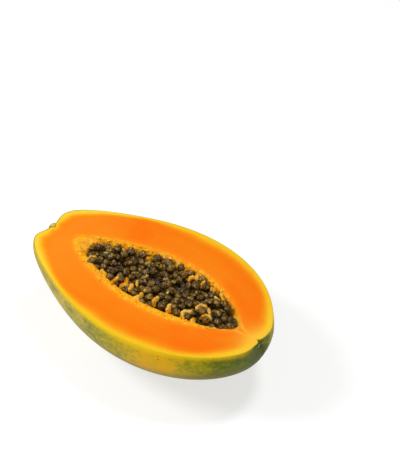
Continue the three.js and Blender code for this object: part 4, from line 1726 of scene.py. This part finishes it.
# %% Seed material
SEED_GRAIN = 1.9  # in millimetres; its noise is made here, as a group may not feed the coat's bump
SEED_COLOURS = (  # from the blackest seed to the brownest
    (0.0, srgb(50, 32, 4)),
    (0.35, srgb(76, 50, 6)),
    (0.7, srgb(98, 68, 8)),
    (1.0, srgb(126, 94, 20)),
)
PATCH_BLACK = srgb(24, 10, 2)
SHADED_RED = srgb(34, 10, 2)
WRINKLE_OLIVE = srgb(130, 96, 22)
HIGHLIGHT_TAN = srgb(166, 130, 60)


def make_seed_material():
    material, tree, surface = new_material(
        "seed_coat", Roughness=0.3, Specular_IOR_Level=0.4, Specular_Tint=(1.0, 0.76, 0.45, 1),
        Coat_Weight=0.5, Coat_Roughness=0.05,
    )
    place = places(tree)
    _, wetness = grained(tree, SEED_GRAIN, 0.14, 0.4)
    grain = clouds(tree, place, SEED_GRAIN, detail=4)
    winding = sums(tree, "SUBTRACT", clouds(tree, place, 4.2, detail=2, stir=0.5), 0.5)
    wrinkles = fade(tree, sums(tree, "ABSOLUTE", winding), 0.0, 0.08, 1.0, 0.0)
    patches = clouds(tree, place, 2.9, detail=3)
    lit = mark(tree, "lit")
    # painted highlights: pale flecks that only sit on the upper sides of the seeds
    highlight_flecks = fade(tree, clouds(tree, place, 2.2, detail=1), 0.55, 0.61)
    highlight_flecks = sums(tree, "MULTIPLY", highlight_flecks, fade(tree, lit, 0.1, 0.5))
    coat = ramp(tree, mark(tree, "tint"), SEED_COLOURS)
    coat = blend(tree, fade(tree, patches, 0.44, 0.56, 0.0, 0.95), coat, PATCH_BLACK)
    # painted shade: the lower sides of the seeds and the seeds deep in the heap go dark red
    coat = blend(tree, fade(tree, lit, -0.4, 0.4, 0.85, 0.0), coat, SHADED_RED)
    coat = blend(tree, sums(tree, "MULTIPLY", wrinkles, 0.6), coat, WRINKLE_OLIVE)
    coat = blend(tree, sums(tree, "MULTIPLY", highlight_flecks, 0.85), coat, HIGHLIGHT_TAN)
    paint(tree, surface, Base_Color=coat, Roughness=wetness)
    height = sums(tree, "ADD", sums(tree, "MULTIPLY", wrinkles, 0.3), sums(tree, "MULTIPLY", grain, 1.5))
    paint(tree, surface, Normal=bump(tree, height, 0.8, 1.0))
    paint(tree, surface, Coat_Normal=bump(tree, height, 0.6, 1.0))
    return material


seed_material = make_seed_material()
finish_piece(seeds, seed_material, "seed_coat", "seed_mass")
finish_piece(seed_core, seed_material, "seed_coat", "seed_mass")

# %% [markdown]
# ## Finish of the pulp and the threads
#
# The pulp is the same soft tissue as the lining, from olive and cream through yellow to peach.
# Light goes well into it, so it glows a little beside the dark seeds. Its four pieces differ only
# in their colours, so one recipe makes all four materials.

# %% Pulp materials
LUMP_COLOURS = (
    (0.0, srgb(194, 118, 14)),
    (0.3, srgb(224, 152, 26)),
    (0.65, srgb(232, 174, 52)),
    (1.0, srgb(239, 193, 94)),
)
BIT_COLOURS = (
    (0.0, srgb(150, 128, 34)),
    (0.5, srgb(186, 156, 50)),
    (1.0, srgb(214, 182, 84)),
)
CRUMB_COLOURS = (
    (0.0, srgb(246, 160, 22)),
    (0.5, srgb(252, 182, 32)),
    (1.0, srgb(254, 202, 84)),
)
THREAD_COLOURS = (
    (0.0, srgb(252, 190, 72)),
    (1.0, srgb(254, 216, 130)),
)


def make_pulp_material(name, stops, lining, tinted):
    """`lining` is the share of the golden lining, and `tinted` pieces have a tint for each lump."""
    material, tree, surface = new_material(
        name, Roughness=0.4, Specular_IOR_Level=0.05, Subsurface_Weight=0.2,
        Subsurface_Scale=0.0015, Subsurface_Radius=(1.0, 0.5, 0.2),
    )
    mottle, wetness = grained(tree, 1.6, 0.25, 0.45)
    broad = clouds(tree, places(tree), 7, detail=2)
    start = mark(tree, "tint") if tinted else fade(tree, broad, 0.35, 0.65)
    share = sums(tree, "ADD", start, fade(tree, mottle, 0.3, 0.7, -0.25, 0.25))
    colour = blend(tree, lining, ramp(tree, share, stops), lining_colour(tree))
    paint(tree, surface, Base_Color=colour, Roughness=wetness)
    paint(tree, surface, Normal=bump(tree, mottle, 0.3, 0.5))
    return material


for piece, name, stops, lining, tinted in (
    (pulp_lumps, "pulp_cream", LUMP_COLOURS, 0.0, False),
    (pulp_bits, "pulp_olive", BIT_COLOURS, 0.0, True),
    (margin_crumbs, "pulp_golden", CRUMB_COLOURS, 0.7, True),
    (threads, "pulp_thread", THREAD_COLOURS, 0.4, False),
):
    finish_piece(piece, make_pulp_material(name, stops, lining, tinted), "flesh")

# %% [markdown]
# ## Finish of the stub
#
# The outside of the stalk is dry grey-tan bark with lengthwise cracks, and its cut face is still
# pale and greenish. The cut face could be given a material of its own, but the two differ only in
# colour, so the height of each point decides between them.

# %% Stub material
BARK_COLOURS = (
    (0.3, srgb(84, 68, 44)),
    (0.5, srgb(132, 112, 78)),
    (0.7, srgb(170, 152, 112)),
)
FRESH_CUT = srgb(206, 182, 66)
CUT_MARGIN = (0.3, 0.1)  # the fresh colour starts and is whole this far below the cut face


def make_stub_material():
    material, tree, surface = new_material("dry_stalk", Roughness=0.75)
    place = places(tree)
    bark = clouds(tree, stretched(tree, place, (0.3, 1, 1)), 0.9, detail=5)
    height = add(tree, "SeparateXYZ", {"Vector": place}).outputs["Z"]
    start, end = (float(in_frame((0, 0, CUT_HEIGHT - below))[2]) for below in CUT_MARGIN)
    colour = blend(tree, fade(tree, height, start, end), ramp(tree, bark, BARK_COLOURS), FRESH_CUT)
    paint(tree, surface, Base_Color=colour, Normal=bump(tree, bark, 0.25, 0.8))
    return material


finish_piece(stub, make_stub_material(), "dry_stem", "stem_stub")

# %% [markdown]
# ## The table
#
# A plain pale table shows the fruit's own colours. A pure white one would be too bright where the
# lights meet and grey elsewhere. So it is a middle grey that glows a little by itself, which evens
# it out and keeps the shadow faint.

# %% Table
TABLE_REACH = 4  # half its width, in metres
TABLE_GLOW = 0.6
TABLE_GREYS = ((0.0, (0.48, 0.48, 0.48, 1)), (1.0, (0.52, 0.52, 0.52, 1)))


def make_table():
    bm = bmesh.new()
    bmesh.ops.create_grid(bm, x_segments=1, y_segments=1, size=TABLE_REACH)
    mesh = bpy.data.meshes.new("table")
    bm.to_mesh(mesh)
    bm.free()
    table = bpy.data.objects.new("table", mesh)
    bpy.context.scene.collection.objects.link(table)
    material, tree, surface = new_material(
        "table_white", Roughness=0.7, Specular_IOR_Level=0.0,
        Emission_Color=(1, 1, 1, 1), Emission_Strength=TABLE_GLOW,
    )
    faint = clouds(tree, places(tree), 300, detail=2)
    paint(tree, surface, Base_Color=ramp(tree, faint, TABLE_GREYS))
    mesh.materials.append(material)
    table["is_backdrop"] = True
    print("table:", 2 * TABLE_REACH, "m wide")


make_table()

# %% [markdown]
# ## The lights
#
# Broad soft light, as in a bright studio, keeps the colours true. One bright even sky would light
# the flesh as well, but wet seeds need separate lights to mirror. So the world gives only a low
# even glow, and three soft panels do the rest, the strongest from the stalk's side.

# %% Lights
WORLD_GLOW = 0.2
PANELS = (  # name, place and width in metres, power in watts
    ("key_panel", (-0.75, -0.5, 0.9), 0.5, 9),
    ("top_panel", (0.15, 0.35, 1.2), 0.3, 5.5),
    ("fill_panel", (0.7, -0.75, 0.75), 0.4, 3.5),
)


def make_panel(name, place, width, power):
    """A round soft light that faces the middle of the fruit's underside."""
    light = bpy.data.lights.new(name, "AREA")
    light.shape = "DISK"
    light.size = width
    light.energy = power
    panel = bpy.data.objects.new(name, light)
    panel.location = place
    panel.rotation_euler = (-Vector(place)).to_track_quat("-Z", "Y").to_euler()
    bpy.context.scene.collection.objects.link(panel)
    print(f"{name}: {power} W, {panel.location.length:.2f} m away")


def make_world():
    world = bpy.data.worlds.new("studio")
    world.use_nodes = True
    background = world.node_tree.nodes["Background"].inputs
    background["Color"].default_value = (1, 1, 1, 1)
    background["Strength"].default_value = WORLD_GLOW
    bpy.context.scene.world = world


make_world()
for panel in PANELS:
    make_panel(*panel)
bpy.context.scene.view_settings.view_transform = "Standard"

# %% [markdown]
#
# The finer pieces must stay within the construction model's box, apart from some tenths of a
# millimetre. The eye can't judge that, so both boxes are measured and written down side by side.

# %% Print both boxes and finish
visual_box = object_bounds()
for name, corners in (("construction", CAD_BOX), ("visual", visual_box)):
    print(name, "box, mm:", [tuple(round(n * 1000, 1) for n in corner) for corner in corners])
